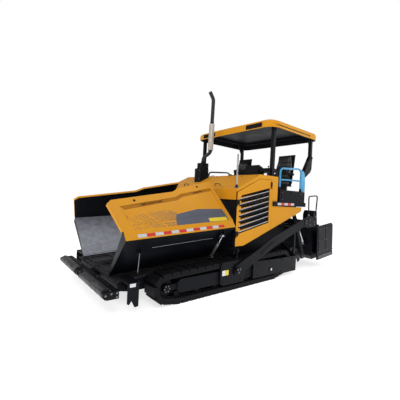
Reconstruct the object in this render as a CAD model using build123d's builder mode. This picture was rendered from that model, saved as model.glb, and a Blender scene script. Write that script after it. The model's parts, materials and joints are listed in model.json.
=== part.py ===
from build123d import *
import math
import os

# Tracked asphalt paver with a hydraulically extending screed, in millimetres.
# +X points to the hopper, +Y to the machine's left, +Z up, the ground is Z = 0.
# Left-hand pieces are drawn at +Y and mirrored to the right.

os.makedirs("parts", exist_ok=True)

# ---- driving dimensions -------------------------------------------------------------
# crawler tracks
track_outer = 1275  # half width over the shoes
shoe_width = 300
shoe_pitch = 168
pad_thick = 46
pad_gap = 20
chain_thick = 46
track_gap = 75  # shoes to main frame
belly_z = 210
sheet = 30
plate = 40
fit_gap = 3  # round a pin in its bore

# hood and doors
hood_front = 752
hood_half = track_outer - 45
hood_break_x = 80
hood_rear = -540
hood_front_z = 1906
hood_top_z = 2234
skirt_rear = -1560
deck_z = 1592  # underside of the operator deck
deck_thick = 100
deck_rear = -1700
deck_half = hood_half + 26
door_rear = -340
door_gap = 6
door_low_z = 805
skirt_break_x = 500
skirt_slope = 0.3277
louvre_count = 7

# hopper, drawn in a frame that rises to the rear
hopper_length = 2250
hopper_x = hood_front - 2 + hopper_length
hopper_z = 450
hopper_pitch = 3.2  # degrees
floor_drop = 75  # floor's underside below the hinge line

# main frame
frame_half = track_outer - shoe_width - track_gap  # over the side plates
frame_front = hopper_x - 110
frame_rear = -1400
bed_z = 1235  # top of the engine bed

# hopper wings
hinge_y = frame_half - 250
hinge_radius = 28
knee_y = track_outer + 5
knee_w = 610
crease_y = knee_y - 80
crease_w = knee_w + 120
lean = 41.3  # inward lean of the upper wing plate, degrees
wing_plate = 46
wing_front_u = -70
wing_rear_u = 15 - hopper_length
cylinder_u = 325 - hopper_length  # along the hopper, the wing cylinders' plane
cylinder_base = (frame_half + 36, 22)
cylinder_eye = (knee_y - 40, knee_w - 136)
pin_radius = 13

# wheel table of the track outline: centre x, centre z, radius over the pads
idler = (hopper_x - 750, 275, 235)
front_roller = (idler[0] - 220, 110, 110)
rear_roller = (-480, 110, 110)
sprocket = (-850, 340, 262)

# canopy
canopy_front = -190
canopy_rear = -2180
canopy_half = hood_half + 35
canopy_z = 3285
canopy_rim = 155
canopy_crown = 62
canopy_shell = 31  # thickness of the moulded roof
canopy_ceiling = canopy_z + canopy_rim - canopy_shell
post_size = 76
post_y = hood_half - 80

# push beam
beam_x0 = hopper_x - 10
beam_x1 = beam_x0 + 160
beam_z0 = 262
beam_z1 = 372
beam_half = track_outer - 75
roller_radius = 74
roller_x = beam_x1 - 9
roller_z = 330
roller_in = 170
roller_out = beam_half - 75
swivel_x = frame_front + 60
swivel_radius = 52
swivel_pin = 30

# tow arms and screed, drawn in a frame turned up about the tow pins
tow_x = 735
tow_z = 380
tow_pin = 45
screed_raise = 4.2  # degrees above its working place
arm_in = track_outer + 30
arm_thick = 28
arm_gap = 8  # track guard to arm
screed_front = -3003  # from the tow pins, along the ground
main_depth = 430
main_half = arm_in - 125
screed_high = 880
screed_wall = 40
extension_depth = 280
extension_high = 620
guide_radius = 34
guide_heights = (300, 520)

# lift cylinders between the frame and the screed
lift_pin = (frame_rear - 160, 1450)
lift_y = frame_half + 100
lift_pin_radius = 16

# augers
auger_x = frame_rear - 450
auger_z = 345
auger_radius = 190
auger_shaft = 55
auger_pitch = 300


# ---- reference frames ---------------------------------------------------------------
pitch_angle = math.radians(hopper_pitch)
hopper_frame = Plane(
    origin=(hopper_x, 0, hopper_z),
    x_dir=(math.cos(pitch_angle), 0, -math.sin(pitch_angle)),
    z_dir=(math.sin(pitch_angle), 0, math.cos(pitch_angle)),
)
raise_angle = math.radians(screed_raise)
# the point on the ground below the tow pins when the screed works
screed_origin = (tow_x - tow_z * math.sin(raise_angle), 0, tow_z - tow_z * math.cos(raise_angle))


def hopper_section(u):
    """Cross-section plane of the hopper: local x is Y, local y is up, at u along it."""
    place = hopper_frame.origin + hopper_frame.x_dir * u
    return Plane(origin=place, x_dir=(0, 1, 0), z_dir=hopper_frame.x_dir)


def floor_under(x):
    """Height of the hopper floor's underside at x."""
    return hopper_z + (hopper_x - x) * math.tan(pitch_angle) - floor_drop / math.cos(pitch_angle)


def screed_side(y):
    """Side plane of the raised screed: local x runs along its arms, local y up from its sole."""
    return Plane(
        origin=(screed_origin[0], y, screed_origin[2]),
        x_dir=(math.cos(raise_angle), 0, -math.sin(raise_angle)),
        z_dir=(0, -1, 0),
    )


def side_plane(y):
    """Vertical plane at Y = y whose normal is -Y: local x is X and local y is Z."""
    return Plane.XZ.offset(-y)


def cross_plane(x):
    """Vertical plane at X = x whose normal is +X: local x is Y and local y is Z."""
    return Plane.YZ.offset(x)


def save(builder, label):
    builder.part.label = label
    export_step(builder.part, f"parts/{label}.step")


def save_mirrored(builder, label):
    with BuildPart() as copy:
        mirror(builder.part, about=Plane.XZ)
    save(copy, label)


def slab(plane, points, depth, mode=Mode.ADD):
    """Extrude the polygon through points, drawn on plane, by depth along its normal."""
    with BuildSketch(plane) as profile:
        with BuildLine():
            Polyline(*points, close=True)
        make_face()
    extrude(profile.sketch, amount=depth, mode=mode)


def block(x_range, y_range, z_range, mode=Mode.ADD):
    """A box between the given limits."""
    with BuildSketch(Plane.XY.offset(z_range[0])) as profile:
        with Locations(((x_range[0] + x_range[1]) / 2, (y_range[0] + y_range[1]) / 2)):
            Rectangle(x_range[1] - x_range[0], y_range[1] - y_range[0])
    extrude(profile.sketch, amount=z_range[1] - z_range[0], mode=mode)


def disc(plane, centre, radius, depth, mode=Mode.ADD):
    """A true cylinder on plane about the local centre, for the pins, bores and journals of joints."""
    with BuildSketch(plane) as profile:
        with Locations(centre):
            Circle(radius)
    extrude(profile.sketch, amount=depth, mode=mode)


def drum(plane, centre, radius, depth, flats=12, mode=Mode.ADD):
    """A cylinder of few flats, each at radius from the axis."""
    with BuildSketch(plane) as profile:
        with Locations(centre):
            RegularPolygon(radius, flats, major_radius=False)
    extrude(profile.sketch, amount=depth, mode=mode)


def round_lug(plane, centre, radius, foot, depth):
    """A lug whose round end lies about centre, its flanks running on to the far point foot."""
    way = (Vector(*foot) - Vector(*centre)).normalized()
    side = Vector(-way.Y, way.X) * radius
    near, far = Vector(*centre), Vector(*foot)
    with BuildSketch(plane) as profile:
        with BuildLine():
            ThreePointArc(near + side, near - way * radius, near - side)
            Polyline(near - side, far - side, far + side, near + side)
        make_face()
    extrude(profile.sketch, amount=depth)


def both_sides(y_low, y_high):
    """Limits of a slab at +Y and of its mirror image."""
    return ((y_low, y_high), (-y_high, -y_low))


def rod(start, end, radius, flats=8):
    """A bar from start to end."""
    path = Vector(*end) - Vector(*start)
    drum(Plane(origin=start, z_dir=path), (0, 0), radius, path.length, flats)


def eased(corners, bend):
    """The corners of a tube's line, each replaced by the ends of three equal cuts round its bend."""
    line = [Vector(*corners[0])]
    for before, corner, after in zip(corners, corners[1:], corners[2:]):
        corner = Vector(*corner)
        back = (Vector(*before) - corner).normalized()
        ahead = (Vector(*after) - corner).normalized()
        half = math.radians(back.get_angle(ahead)) / 2
        reach = bend / math.tan(half)
        for share in (0, 1 / 3, 2 / 3, 1):
            line.append(corner + back * reach * (1 - share) ** 2 + ahead * reach * share**2)
    line.append(Vector(*corners[-1]))
    return line


def bent_tube(corners, bend, radius, flats=8):
    """A tube of few flats through corners, bent at each of them."""
    with BuildLine() as route:
        Polyline(*eased(corners, bend))
    with BuildSketch(Plane(origin=route.line @ 0, z_dir=route.line % 0)) as profile:
        RegularPolygon(radius, flats, major_radius=False)
    sweep(profile.sketch, path=route.line, transition=Transition.RIGHT)


# ---- crawler tracks -----------------------------------------------------------------
def track_hull(inset):
    """Outline round the track's wheels, inset from the pads' outer faces."""
    with BuildSketch(Plane.XY) as outline:
        with BuildLine():
            for x, z, radius in (idler, front_roller, rear_roller, sprocket):
                CenterArc((x, z), radius - inset, 0, 360)
        make_hull()
    return outline.sketch


pad_path = track_hull(pad_thick / 2).face().outer_wire()
shoe_count = round(pad_path.length / shoe_pitch)

with BuildPart() as track_left:
    with BuildSketch(side_plane(track_outer)):
        add(track_hull(pad_thick - 3))
        add(track_hull(pad_thick + chain_thick), mode=Mode.SUBTRACT)
        for shoe in range(shoe_count):
            spot = pad_path.position_at(shoe / shoe_count)
            along = pad_path.tangent_at(shoe / shoe_count)
            turn = math.degrees(math.atan2(along.Y, along.X))
            with Locations(Location((spot.X, spot.Y), turn)):
                Rectangle(shoe_pitch - pad_gap, pad_thick)
    extrude(amount=shoe_width)
save(track_left, "track_left")
save_mirrored(track_left, "track_right")

# ---- track frames: beam, idler, rollers and sprocket between the runs ----------------
beam_high = 388
beam_low = 165
track_inner = track_outer - shoe_width
chain_inset = pad_thick + chain_thick
with BuildPart() as track_frames:
    for y_low, y_high in both_sides(track_inner + 30, track_outer - 20):
        # boxed beam with its sloped nose
        tip = idler[0] - 200
        nose = ((tip - 60, beam_low), (tip, 230), (tip, 330), (tip - 60, beam_high))
        tail = ((rear_roller[0] - 80, beam_high), (rear_roller[0] - 80, beam_low))
        slab(side_plane(y_high), nose + tail, y_high - y_low)
        middle = (y_low + y_high) / 2
        for x, z, radius in (idler, sprocket):
            wheel = radius - chain_inset - 6
            drum(side_plane(middle + 60), (x, z), wheel, 120, flats=16)
            drum(side_plane(y_high), (x, z), wheel * 0.45, y_high - y_low, flats=10)
        # bottom rollers stand proud below the beam
        roller_step = (front_roller[0] - rear_roller[0]) / 6
        for number in range(7):
            x = rear_roller[0] + number * roller_step
            drum(side_plane(middle + 80), (x, chain_inset + 55), 48, 160, flats=8)
    # yoke arms that join idler and sprocket to the beam
    for y_low, y_high in both_sides(track_inner + 45, track_inner + 75):
        block((idler[0] - 270, idler[0]), (y_low, y_high), (idler[1] - 45, idler[1] + 45))
        block((sprocket[0], rear_roller[0] - 60), (y_low, y_high), (sprocket[1] - 60, sprocket[1] + 60))
    for y_low, y_high in both_sides(track_outer - 75, track_outer - 45):
        block((idler[0] - 270, idler[0]), (y_low, y_high), (idler[1] - 45, idler[1] + 45))
        block((sprocket[0], rear_roller[0] - 60), (y_low, y_high), (sprocket[1] - 60, sprocket[1] + 60))
    # cross tubes to the main frame
    for y_low, y_high in both_sides(frame_half, track_inner + 40):
        for x in (front_roller[0] - 530, rear_roller[0] + 330):
            block((x - 110, x + 110), (y_low, y_high), (190, 370))
save(track_frames, "track_frames")

# ---- main frame -----------------------------------------------------------------------
bulkhead_x = hood_front - 56  # rear face of the hopper's rear wall
rail_front_z = floor_under(frame_front)
swivel_low = beam_z0 + 26
swivel_high = beam_z1 - 26
guard_rear = frame_front - 168
guard_y = track_outer - 38

with BuildPart() as main_frame:
    profile = (
        (frame_front, belly_z + 40),
        (frame_front, rail_front_z),
        (bulkhead_x, floor_under(bulkhead_x)),
        (bulkhead_x, bed_z),
        (frame_rear, bed_z),
        (frame_rear, belly_z + 120),
        (frame_rear + 160, belly_z),
        (frame_front - 200, belly_z),
    )
    for y in (frame_half, -frame_half + plate):
        slab(side_plane(y), profile, plate)
    inner = frame_half - plate
    block((frame_rear + 160, frame_front - 200), (-inner, inner), (belly_z, belly_z + 24))
    slope = (
        (frame_rear + 162, belly_z),
        (frame_rear + 162, belly_z + 26),
        (frame_rear + 22, belly_z + 131),
        (frame_rear, belly_z + 120),
    )
    slab(side_plane(inner), slope, 2 * inner)
    block((frame_rear, bulkhead_x), (-inner, inner), (bed_z - 30, bed_z))
    block((frame_front - plate, frame_front), (-inner, inner), (belly_z + 40, rail_front_z))
    # swivel block and pin of the push beam
    block((frame_front, swivel_x), (-swivel_radius, swivel_radius), (swivel_low, swivel_high))
    drum(Plane.XY.offset(swivel_low), (swivel_x, 0), swivel_radius - 2, swivel_high - swivel_low)
    drum(Plane.XY.offset(beam_z0 + 4), (swivel_x, 0), swivel_pin, beam_z1 - beam_z0 - 8)
    # side guards ahead of the tracks, with two pointed toes
    for side in (1, -1):
        guard = (
            (frame_front, 470),
            (frame_front, 175),
            (frame_front - 22, 160),
            (frame_front - 62, 214),
            (frame_front - 114, 112),
            (guard_rear, 118),
            (guard_rear, 470),
        )
        slab(side_plane(guard_y + 25 if side > 0 else -guard_y), guard, 25)
        outer = (frame_half, guard_y) if side > 0 else (-guard_y, -frame_half)
        block((guard_rear, guard_rear + 30), outer, (250, 470))
        block((guard_rear, frame_front), outer, (445, 470))
    # rear tow lugs, each with a cross bore
    for y in (520, -480):
        lug = (
            (frame_rear, 330),
            (frame_rear, 480),
            (frame_rear - 40, 480),
            (frame_rear - 110, 440),
            (frame_rear - 110, 370),
            (frame_rear - 40, 330),
        )
        slab(side_plane(y), lug, 40)
        disc(side_plane(y), (frame_rear - 62, 405), 26, 40, mode=Mode.SUBTRACT)
    block((frame_rear, frame_rear + 20), (-inner, inner), (belly_z + 120, 640))
    # ears that hold the wing cylinders
    for side in (1, -1):
        y_low, y_high = sorted((side * frame_half, side * (cylinder_base[0] + 28)))
        for u in (cylinder_u + 34, cylinder_u - 50):
            with BuildSketch(hopper_section(u)):
                with Locations(((y_low + y_high) / 2, cylinder_base[1] - 88)):
                    Rectangle(y_high - y_low, 232)
                with Locations((side * cylinder_base[0], cylinder_base[1])):
                    RegularPolygon(pin_radius + fit_gap, 8, major_radius=False, mode=Mode.SUBTRACT)
            extrude(amount=16)
    # brackets under the deck that carry the lift cylinders
    block((frame_rear + 20, frame_rear + 60), (-frame_half, frame_half), (bed_z, deck_z))
    for side in (1, -1):
        y_low, y_high = sorted((side * (frame_half - plate), side * (lift_y + 60)))
        block((frame_rear + 20, frame_rear + 60), (y_low, y_high), (bed_z, deck_z))
        for offset in (28, -44):
            y = side * lift_y + offset + 16
            bracket = (
                (frame_rear + 20, bed_z + 65),
                (frame_rear + 20, deck_z),
                (lift_pin[0] - 80, deck_z),
                (lift_pin[0] - 50, lift_pin[1] - 40),
                (lift_pin[0] + 20, lift_pin[1] - 50),
            )
            slab(side_plane(y), bracket, 16)
            drum(side_plane(y), lift_pin, lift_pin_radius + fit_gap, 16, 8, Mode.SUBTRACT)
save(main_frame, "main_frame")

with BuildPart() as engine_block:
    block((-420, 380), (-420, 420), (bed_z, 1940))
save(engine_block, "engine_block")

# ---- hopper floor, hinge lugs and slat conveyor ---------------------------------------
floor_half = hinge_y - hinge_radius - 12
floor_u = (-hopper_length - 20, -60)
lane_width = floor_half - 50
lane_y = 20 + lane_width / 2  # beside the chain guard
with BuildPart() as hopper_floor:
    base = (
        (-frame_half, -floor_drop),
        (frame_half, -floor_drop),
        (frame_half, -floor_drop + 26),
        (floor_half, -floor_drop + 26),
        (floor_half, 0),
        (-floor_half, 0),
        (-floor_half, -floor_drop + 26),
        (-frame_half, -floor_drop + 26),
    )
    with BuildSketch(hopper_section(floor_u[0])):
        with BuildLine():
            Polyline(*base, close=True)
        make_face()
        # two conveyor troughs
        with Locations((lane_y, -12), (-lane_y, -12)):
            Rectangle(lane_width, 26, mode=Mode.SUBTRACT)
    extrude(amount=floor_u[1] - floor_u[0])
    # chain guard along the middle
    with BuildSketch(hopper_section(floor_u[0])):
        with BuildLine():
            Polyline((-20, -26), (20, -26), (20, 6), (0, 56), (-20, 6), close=True)
        make_face()
    extrude(amount=floor_u[1] - floor_u[0])
    # hinge lugs at both ends of each wing
    for u in (wing_front_u + 24, wing_rear_u - 6):
        for side in (1, -1):
            with BuildSketch(hopper_section(u)):
                with Locations((side * (hinge_y - 15), -25)):
                    Rectangle(90, 80)
            extrude(amount=-18)
    for u in (wing_front_u + 6, wing_rear_u + 70):
        for side in (1, -1):
            with BuildSketch(hopper_section(u)):
                with Locations((side * hinge_y, 0)):
                    RegularPolygon(pin_radius, 8, major_radius=False)
            extrude(amount=-76)
save(hopper_floor, "hopper_floor")

slat_pitch = 400
slat_count = 10
slat_start = -120
with BuildPart() as conveyor_slats:
    for lane in (lane_y, -lane_y):
        # a chain at each end of the slats
        for edge in (15 - lane_width / 2, lane_width / 2 - 15):
            with BuildSketch(hopper_section(slat_start + 60)):
                with Locations((lane + edge, -14)):
                    Rectangle(20, 22)
            extrude(amount=-slat_count * slat_pitch - 20)
        for slat in range(slat_count):
            with BuildSketch(hopper_section(slat_start - slat * slat_pitch)):
                with Locations((lane, -12)):
                    Rectangle(lane_width - 50, 24)
            extrude(amount=-42)
save(conveyor_slats, "conveyor_slats")

with BuildPart() as tunnel:
    # floor and cover of the conveyor tunnel under the engine bed
    for low, high, start in ((-52, -27, -hopper_length - 24), (430, 450, -hopper_length - 85)):
        with BuildSketch(hopper_section(start)):
            with Locations((0, (low + high) / 2)):
                Rectangle(2 * (frame_half - plate), high - low)
        extrude(amount=-1810)
save(tunnel, "conveyor_tunnel")

# ---- hopper wings -----------------------------------------------------------------------
up_y = -math.sin(math.radians(lean))
up_w = math.cos(math.radians(lean))
# outline of the upper plate: along the hopper, up the plate from the crease
wing_outline = (
    (wing_front_u + 13, 0),
    (wing_front_u + 105, 496),
    (wing_front_u + 33, 562),
    (wing_rear_u + 1045, 714),
    (wing_rear_u + 876, 801),
    (wing_rear_u + 35, 976),
    (wing_rear_u + 30, 781),
    (wing_rear_u - 10, 0),
)
recess_outline = (
    (wing_front_u - 135, 72),
    (wing_front_u - 60, 440),
    (wing_rear_u + 1045, 590),
    (wing_rear_u + 895, 660),
    (wing_rear_u + 105, 800),
    (wing_rear_u + 75, 300),
    (wing_rear_u + 67, 190),
    (wing_rear_u + 1335, 110),
)
crease_point = hopper_frame.from_local_coords((0, crease_y, crease_w))
plate_out = hopper_frame.from_local_coords((0, crease_y + up_w, crease_w - up_y)) - crease_point
wing_plane = Plane(origin=crease_point, x_dir=hopper_frame.x_dir, z_dir=plate_out * -1)

rib_up = 640  # from the hinge

with BuildPart() as wing_left:
    # boxed floor of the wing: hinge, knee, crease and back along the inner plate
    section = (
        (hinge_y + 12, -24),
        (knee_y, knee_w),
        (crease_y, crease_w),
        (crease_y - wing_plate * up_w, crease_w + wing_plate * up_y),
        (hinge_y, hinge_radius),
    )
    slab(hopper_section(wing_front_u), section, wing_rear_u - wing_front_u)
    with BuildSketch(wing_plane):
        with BuildLine():
            Polyline(*wing_outline, close=True)
        make_face()
    extrude(amount=wing_plate)
    with BuildSketch(wing_plane):
        with BuildLine():
            Polyline(*recess_outline, close=True)
        make_face()
    extrude(amount=12, mode=Mode.SUBTRACT)
    hinge_length = wing_rear_u - wing_front_u
    drum(hopper_section(wing_front_u), (hinge_y, 0), hinge_radius, hinge_length)
    disc(hopper_section(wing_front_u), (hinge_y, 0), pin_radius + fit_gap, hinge_length, mode=Mode.SUBTRACT)
    # rib below the floor plate
    slope = math.atan2(knee_w + 24, knee_y - hinge_y - 12)
    rib_spot = (hinge_y + 12 + rib_up * math.cos(slope), rib_up * math.sin(slope) - 24)
    with BuildSketch(hopper_section(wing_front_u - 490)):
        with Locations(Location(rib_spot, math.degrees(slope))):
            Rectangle(34, 26)
    extrude(amount=wing_rear_u - wing_front_u + 875)
    # ears beside the cylinder's rod eye
    ear = ((-120, -19), (-15, -40), (22, -30), (32, 10), (10, 116))
    for u in (cylinder_u + 34, cylinder_u - 50):
        with BuildSketch(hopper_section(u)):
            with BuildLine():
                Polyline(*[(cylinder_eye[0] + y, cylinder_eye[1] + w) for y, w in ear], close=True)
            make_face()
        extrude(amount=16)
save(wing_left, "wing_left")
save_mirrored(wing_left, "wing_right")

# ---- wing cylinders -----------------------------------------------------------------------
run = (cylinder_eye[0] - cylinder_base[0], cylinder_eye[1] - cylinder_base[1])
reach = math.hypot(*run)
unit = (run[0] / reach, run[1] / reach)
barrel_length = 360


def on_cylinder(distance):
    """A point of the left wing cylinder's axis in the machine's frame."""
    y = cylinder_base[0] + unit[0] * distance
    w = cylinder_base[1] + unit[1] * distance
    return hopper_section(cylinder_u).from_local_coords((y, w, 0))


axis_dir = on_cylinder(1) - on_cylinder(0)
with BuildPart() as wing_barrel_left:
    drum(Plane(origin=on_cylinder(34), z_dir=axis_dir), (0, 0), 30, barrel_length - 34)
    drum(Plane(origin=on_cylinder(70), z_dir=axis_dir), (0, 0), 20, barrel_length, 8, Mode.SUBTRACT)
    neck = (cylinder_base[0] + unit[0] * 50, cylinder_base[1] + unit[1] * 50)
    round_lug(hopper_section(cylinder_u - 26), cylinder_base, 28, neck, 52)
    drum(hopper_section(cylinder_u - 60), cylinder_base, pin_radius, 120, flats=8)
save(wing_barrel_left, "wing_barrel_left")
save_mirrored(wing_barrel_left, "wing_barrel_right")

with BuildPart() as wing_rod_left:
    drum(Plane(origin=on_cylinder(250), z_dir=axis_dir), (0, 0), 16, reach - 250, flats=10)
    drum(hopper_section(cylinder_u - 26), cylinder_eye, 24, 52)
save(wing_rod_left, "wing_rod_left")
save_mirrored(wing_rod_left, "wing_rod_right")

# ---- hopper rear wall and hood --------------------------------------------------------------
wall_low = 640
wall_high = 1685
knuckle_x = hood_front + 10
knuckle_y = hood_half + 18
wall_half = hood_half - sheet - 4
knuckle_radius = 13
knuckles = (1000, 1600)
knuckle_high = 90
with BuildPart() as rear_wall:
    block((bulkhead_x, hood_front - 26), (-wall_half, wall_half), (wall_low, wall_high))
    mouth = hinge_y - 60
    block((bulkhead_x - 10, hood_front - 20), (-mouth, mouth), (wall_low - 10, 990), mode=Mode.SUBTRACT)
    # corner posts that carry the door hinges
    for y_low, y_high in both_sides(wall_half - 46, wall_half):
        block((bulkhead_x, hood_front), (y_low, y_high), (820, wall_high))
    for y_low, y_high in both_sides(wall_half - 16, knuckle_y):
        for z in knuckles:
            block((hood_front - 10, knuckle_x + 6), (y_low, y_high), (z - 34, z - 2))
    # brackets above the tracks for the levelling rods
    for y_low, y_high in both_sides(wall_half - 96, arm_in + arm_thick):
        block((hood_front - 26, tow_x + 27), (y_low, y_high), (722, 772))
    # feet down to the main frame
    for y_low, y_high in both_sides(frame_half - plate, frame_half):
        block((bulkhead_x, hood_front - 26), (y_low, y_high), (floor_under(bulkhead_x), wall_low))
save(rear_wall, "hopper_rear_wall")


def skirt_z(x):
    """Height of the slanted lower edge of the side panels."""
    return door_low_z + (skirt_break_x - x) * skirt_slope


def roof_z(x):
    """Height of the hood's top at x."""
    fall = (x - hood_break_x) * (hood_top_z - hood_front_z) / (hood_front - hood_break_x)
    return hood_top_z - max(0, fall)


with BuildPart() as hood_shell:
    outline = (
        (hood_front, door_low_z),
        (skirt_break_x, door_low_z),
        (skirt_rear, skirt_z(skirt_rear)),
        (skirt_rear, deck_z - 14),
        (hood_rear, deck_z - 2),
        (hood_rear, hood_top_z),
        (hood_break_x, hood_top_z),
        (hood_front, hood_front_z),
    )
    slab(side_plane(hood_half), outline, 2 * hood_half)
    bay = (
        (hood_front + 5, door_low_z - 5),
        (hood_front + 5, wall_high + 8),
        (hood_front - sheet, wall_high + 8),
        (hood_front - sheet, roof_z(hood_front - sheet) - sheet),
        (hood_break_x, hood_top_z - sheet),
        (hood_rear + sheet, hood_top_z - sheet),
        (hood_rear + sheet, door_low_z - 5),
    )
    deck_bay = (
        (hood_rear + sheet + 1, door_low_z - 5),
        (hood_rear + sheet + 1, deck_z + 2),
        (skirt_rear - 5, deck_z + 2),
        (skirt_rear - 5, door_low_z - 5),
    )
    for hollow in (bay, deck_bay):
        slab(side_plane(hood_half - sheet), hollow, 2 * (hood_half - sheet), mode=Mode.SUBTRACT)
    # doorways in both sides
    doorway = (
        (hood_front + 5, door_low_z - 5),
        (door_rear - door_gap, door_low_z - 5),
        (door_rear - door_gap, roof_z(door_rear) - 84),
        (hood_break_x, roof_z(hood_break_x) - 84),
        (hood_front + 5, roof_z(hood_front) - 60),
    )
    slab(side_plane(hood_half + 5), doorway, sheet + 5, mode=Mode.SUBTRACT)
    slab(side_plane(-hood_half + sheet), doorway, sheet + 5, mode=Mode.SUBTRACT)
    # fuel filler and service lids on the flat top
    with BuildSketch(Plane.XY.offset(hood_top_z)):
        with Locations((hood_rear + 280, -hood_half / 2), (hood_rear + 280, 250)):
            Rectangle(420, 560)
    extrude(amount=9)
save(hood_shell, "hood_shell")

# ---- louvred side doors ---------------------------------------------------------------------
louvre_front = 690
louvre_rear = -262
louvre_low = 1030
louvre_rise = 0.215  # of the louvres towards the rear
louvre_pitch = 106
louvre_high = louvre_count * louvre_pitch
finger = 62


def louvre_line(x):
    """Lower edge of the louvred opening at x."""
    return louvre_low + (louvre_front - x) * louvre_rise


with BuildPart() as hood_door_left:
    door = (
        (hood_front - 10, door_low_z),
        (skirt_break_x, door_low_z),
        (door_rear, skirt_z(door_rear)),
        (door_rear, roof_z(door_rear) - 90),
        (hood_break_x, roof_z(hood_break_x) - 90),
        (hood_front - 10, roof_z(hood_front) - 68),
    )
    slab(side_plane(hood_half), door, sheet)
    # opening whose front edge has a finger between each two louvres
    edge = []
    for louvre in range(louvre_count):
        base = louvre_line(louvre_front) + louvre * louvre_pitch
        edge.append((louvre_front, base + 6))
        edge.append((louvre_front - finger, base + 42 + finger * louvre_rise))
        edge.append((louvre_front - finger, base + louvre_pitch - 4 + finger * louvre_rise))
    top = louvre_line(louvre_rear) + louvre_high
    opening = [*edge, (louvre_rear, top), (louvre_rear, louvre_line(louvre_rear))]
    slab(side_plane(hood_half), opening, sheet, mode=Mode.SUBTRACT)
    # sunk grille plate with a slot behind each blade
    plate_edge = (
        (louvre_front + 12, louvre_line(louvre_front) - 14),
        (louvre_front + 12, louvre_line(louvre_front) + louvre_high + 10),
        (louvre_rear - 14, top + 14),
        (louvre_rear - 14, louvre_line(louvre_rear) - 14),
    )
    slab(side_plane(hood_half - sheet + 8), plate_edge, 8)
    for louvre in range(louvre_count):
        front = louvre_line(louvre_front - finger) + louvre * louvre_pitch
        rear = louvre_line(louvre_rear + 40) + louvre * louvre_pitch
        slot = (
            (louvre_front - finger, front + 30),
            (louvre_front - finger, front + 84),
            (louvre_rear + 40, rear + 84),
            (louvre_rear + 40, rear + 30),
        )
        slab(side_plane(hood_half), slot, sheet, mode=Mode.SUBTRACT)
    # blades, each a strip that leans outwards over its slot
    blade_run = louvre_front - louvre_rear - 34
    blade = ((0, -38), (7, -38), (sheet + 6, -4), (sheet + 6, 8), (sheet - 2, 8), (0, -28))
    for louvre in range(louvre_count):
        start = louvre_line(louvre_front - 16) + louvre * louvre_pitch + 26
        with BuildSketch(
            Plane(origin=(louvre_front - 16, hood_half - sheet, start),
                  x_dir=(0, 1, 0),
                  z_dir=(-math.cos(math.atan(louvre_rise)), 0, math.sin(math.atan(louvre_rise))))
        ):
            with BuildLine():
                Polyline(*blade, close=True)
            make_face()
        extrude(amount=blade_run)
    # hinge knuckles and latch
    for z in knuckles:
        disc(Plane.XY.offset(z), (knuckle_x, knuckle_y), knuckle_radius, knuckle_high)
        block((hood_front - 60, knuckle_x), (hood_half - 2, knuckle_y + 6), (z, z + knuckle_high))
    block((door_rear + 22, door_rear + 58), (hood_half - 4, hood_half + 10), (1990, 2110))
save(hood_door_left, "hood_door_left")
save_mirrored(hood_door_left, "hood_door_right")

# ---- muffler, exhaust stack and guide pole ------------------------------------------------------
stack_y = -400
stack_x = 55
collar_top = 2584  # where the stack stands on the muffler
with BuildPart() as muffler:
    foot = roof_z(430) - 14
    block((170, 430), (-510, -300), (foot, 2400))
    block((170, 370), (-500, -310), (2400, 2540))
    drum(Plane.XY.offset(2540), (270, stack_y), 52, collar_top - 2540, flats=12)
    slope = (
        (430, roof_z(430)),
        (170, roof_z(170)),
        (170, foot - 40),
        (430, foot - 40),
    )
    slab(side_plane(-290), slope, 230, mode=Mode.SUBTRACT)
save(muffler, "muffler")

with BuildPart() as exhaust_stack:
    route = (
        (270, stack_y, collar_top),
        (270, stack_y, 2680),
        (stack_x, stack_y, 2830),
        (stack_x - 20, stack_y, 4170),
        (stack_x + 105, stack_y, 4330),
    )
    bent_tube(route, 140, 43, flats=10)
    # the tip is open
    way = Vector(*route[-2]) - Vector(*route[-1])
    drum(Plane(origin=route[-1], z_dir=way), (0, 0), 37, 60, flats=10, mode=Mode.SUBTRACT)
    # heat guard round the lower pipe
    with BuildSketch(Plane(origin=(stack_x, stack_y, 2900), z_dir=(-20, 0, 1240))):
        RegularPolygon(62, 10, major_radius=False)
        RegularPolygon(54, 10, major_radius=False, mode=Mode.SUBTRACT)
    extrude(amount=640)
    # spacers inside the heat guard
    for height in (2920, 3480):
        block((stack_x - 63, stack_x + 53), (stack_y - 10, stack_y + 10), (height, height + 16))
save(exhaust_stack, "exhaust_stack")

pole_x = hood_front - 40
pole_y = hood_half - 65
with BuildPart() as guide_pole:
    base_z = roof_z(pole_x)
    slab(
        side_plane(pole_y + 45),
        (
            (pole_x + 38, roof_z(pole_x + 38)),
            (pole_x + 38, roof_z(pole_x + 38) + 8),
            (pole_x - 38, roof_z(pole_x - 38) + 8),
            (pole_x - 38, roof_z(pole_x - 38)),
        ),
        90,
    )
    drum(Plane.XY.offset(base_z + 7), (pole_x, pole_y), 11, 640, flats=8)
save(guide_pole, "guide_pole")

# ---- operator station ------------------------------------------------------------------------------
deck_top = deck_z + deck_thick
with BuildPart() as deck:
    block((deck_rear, hood_rear - 5), (-deck_half, deck_half), (deck_z, deck_top))
    for y_low, y_high in both_sides(hood_half + 4, deck_half):
        block((hood_rear - 6, -372), (y_low, y_high), (deck_z, deck_top))
save(deck, "deck")

box_front = -600
box_rear = -1640
box_high = 1950
box_in = deck_half - 271
with BuildPart() as side_boxes:
    for y_low, y_high in both_sides(box_in, deck_half - 6):
        block((box_rear, box_front), (y_low, y_high), (deck_top, box_high))
    chamfer(side_boxes.edges().filter_by(Axis.X).group_by(Axis.Z)[-1], 14)
save(side_boxes, "side_boxes")

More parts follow.
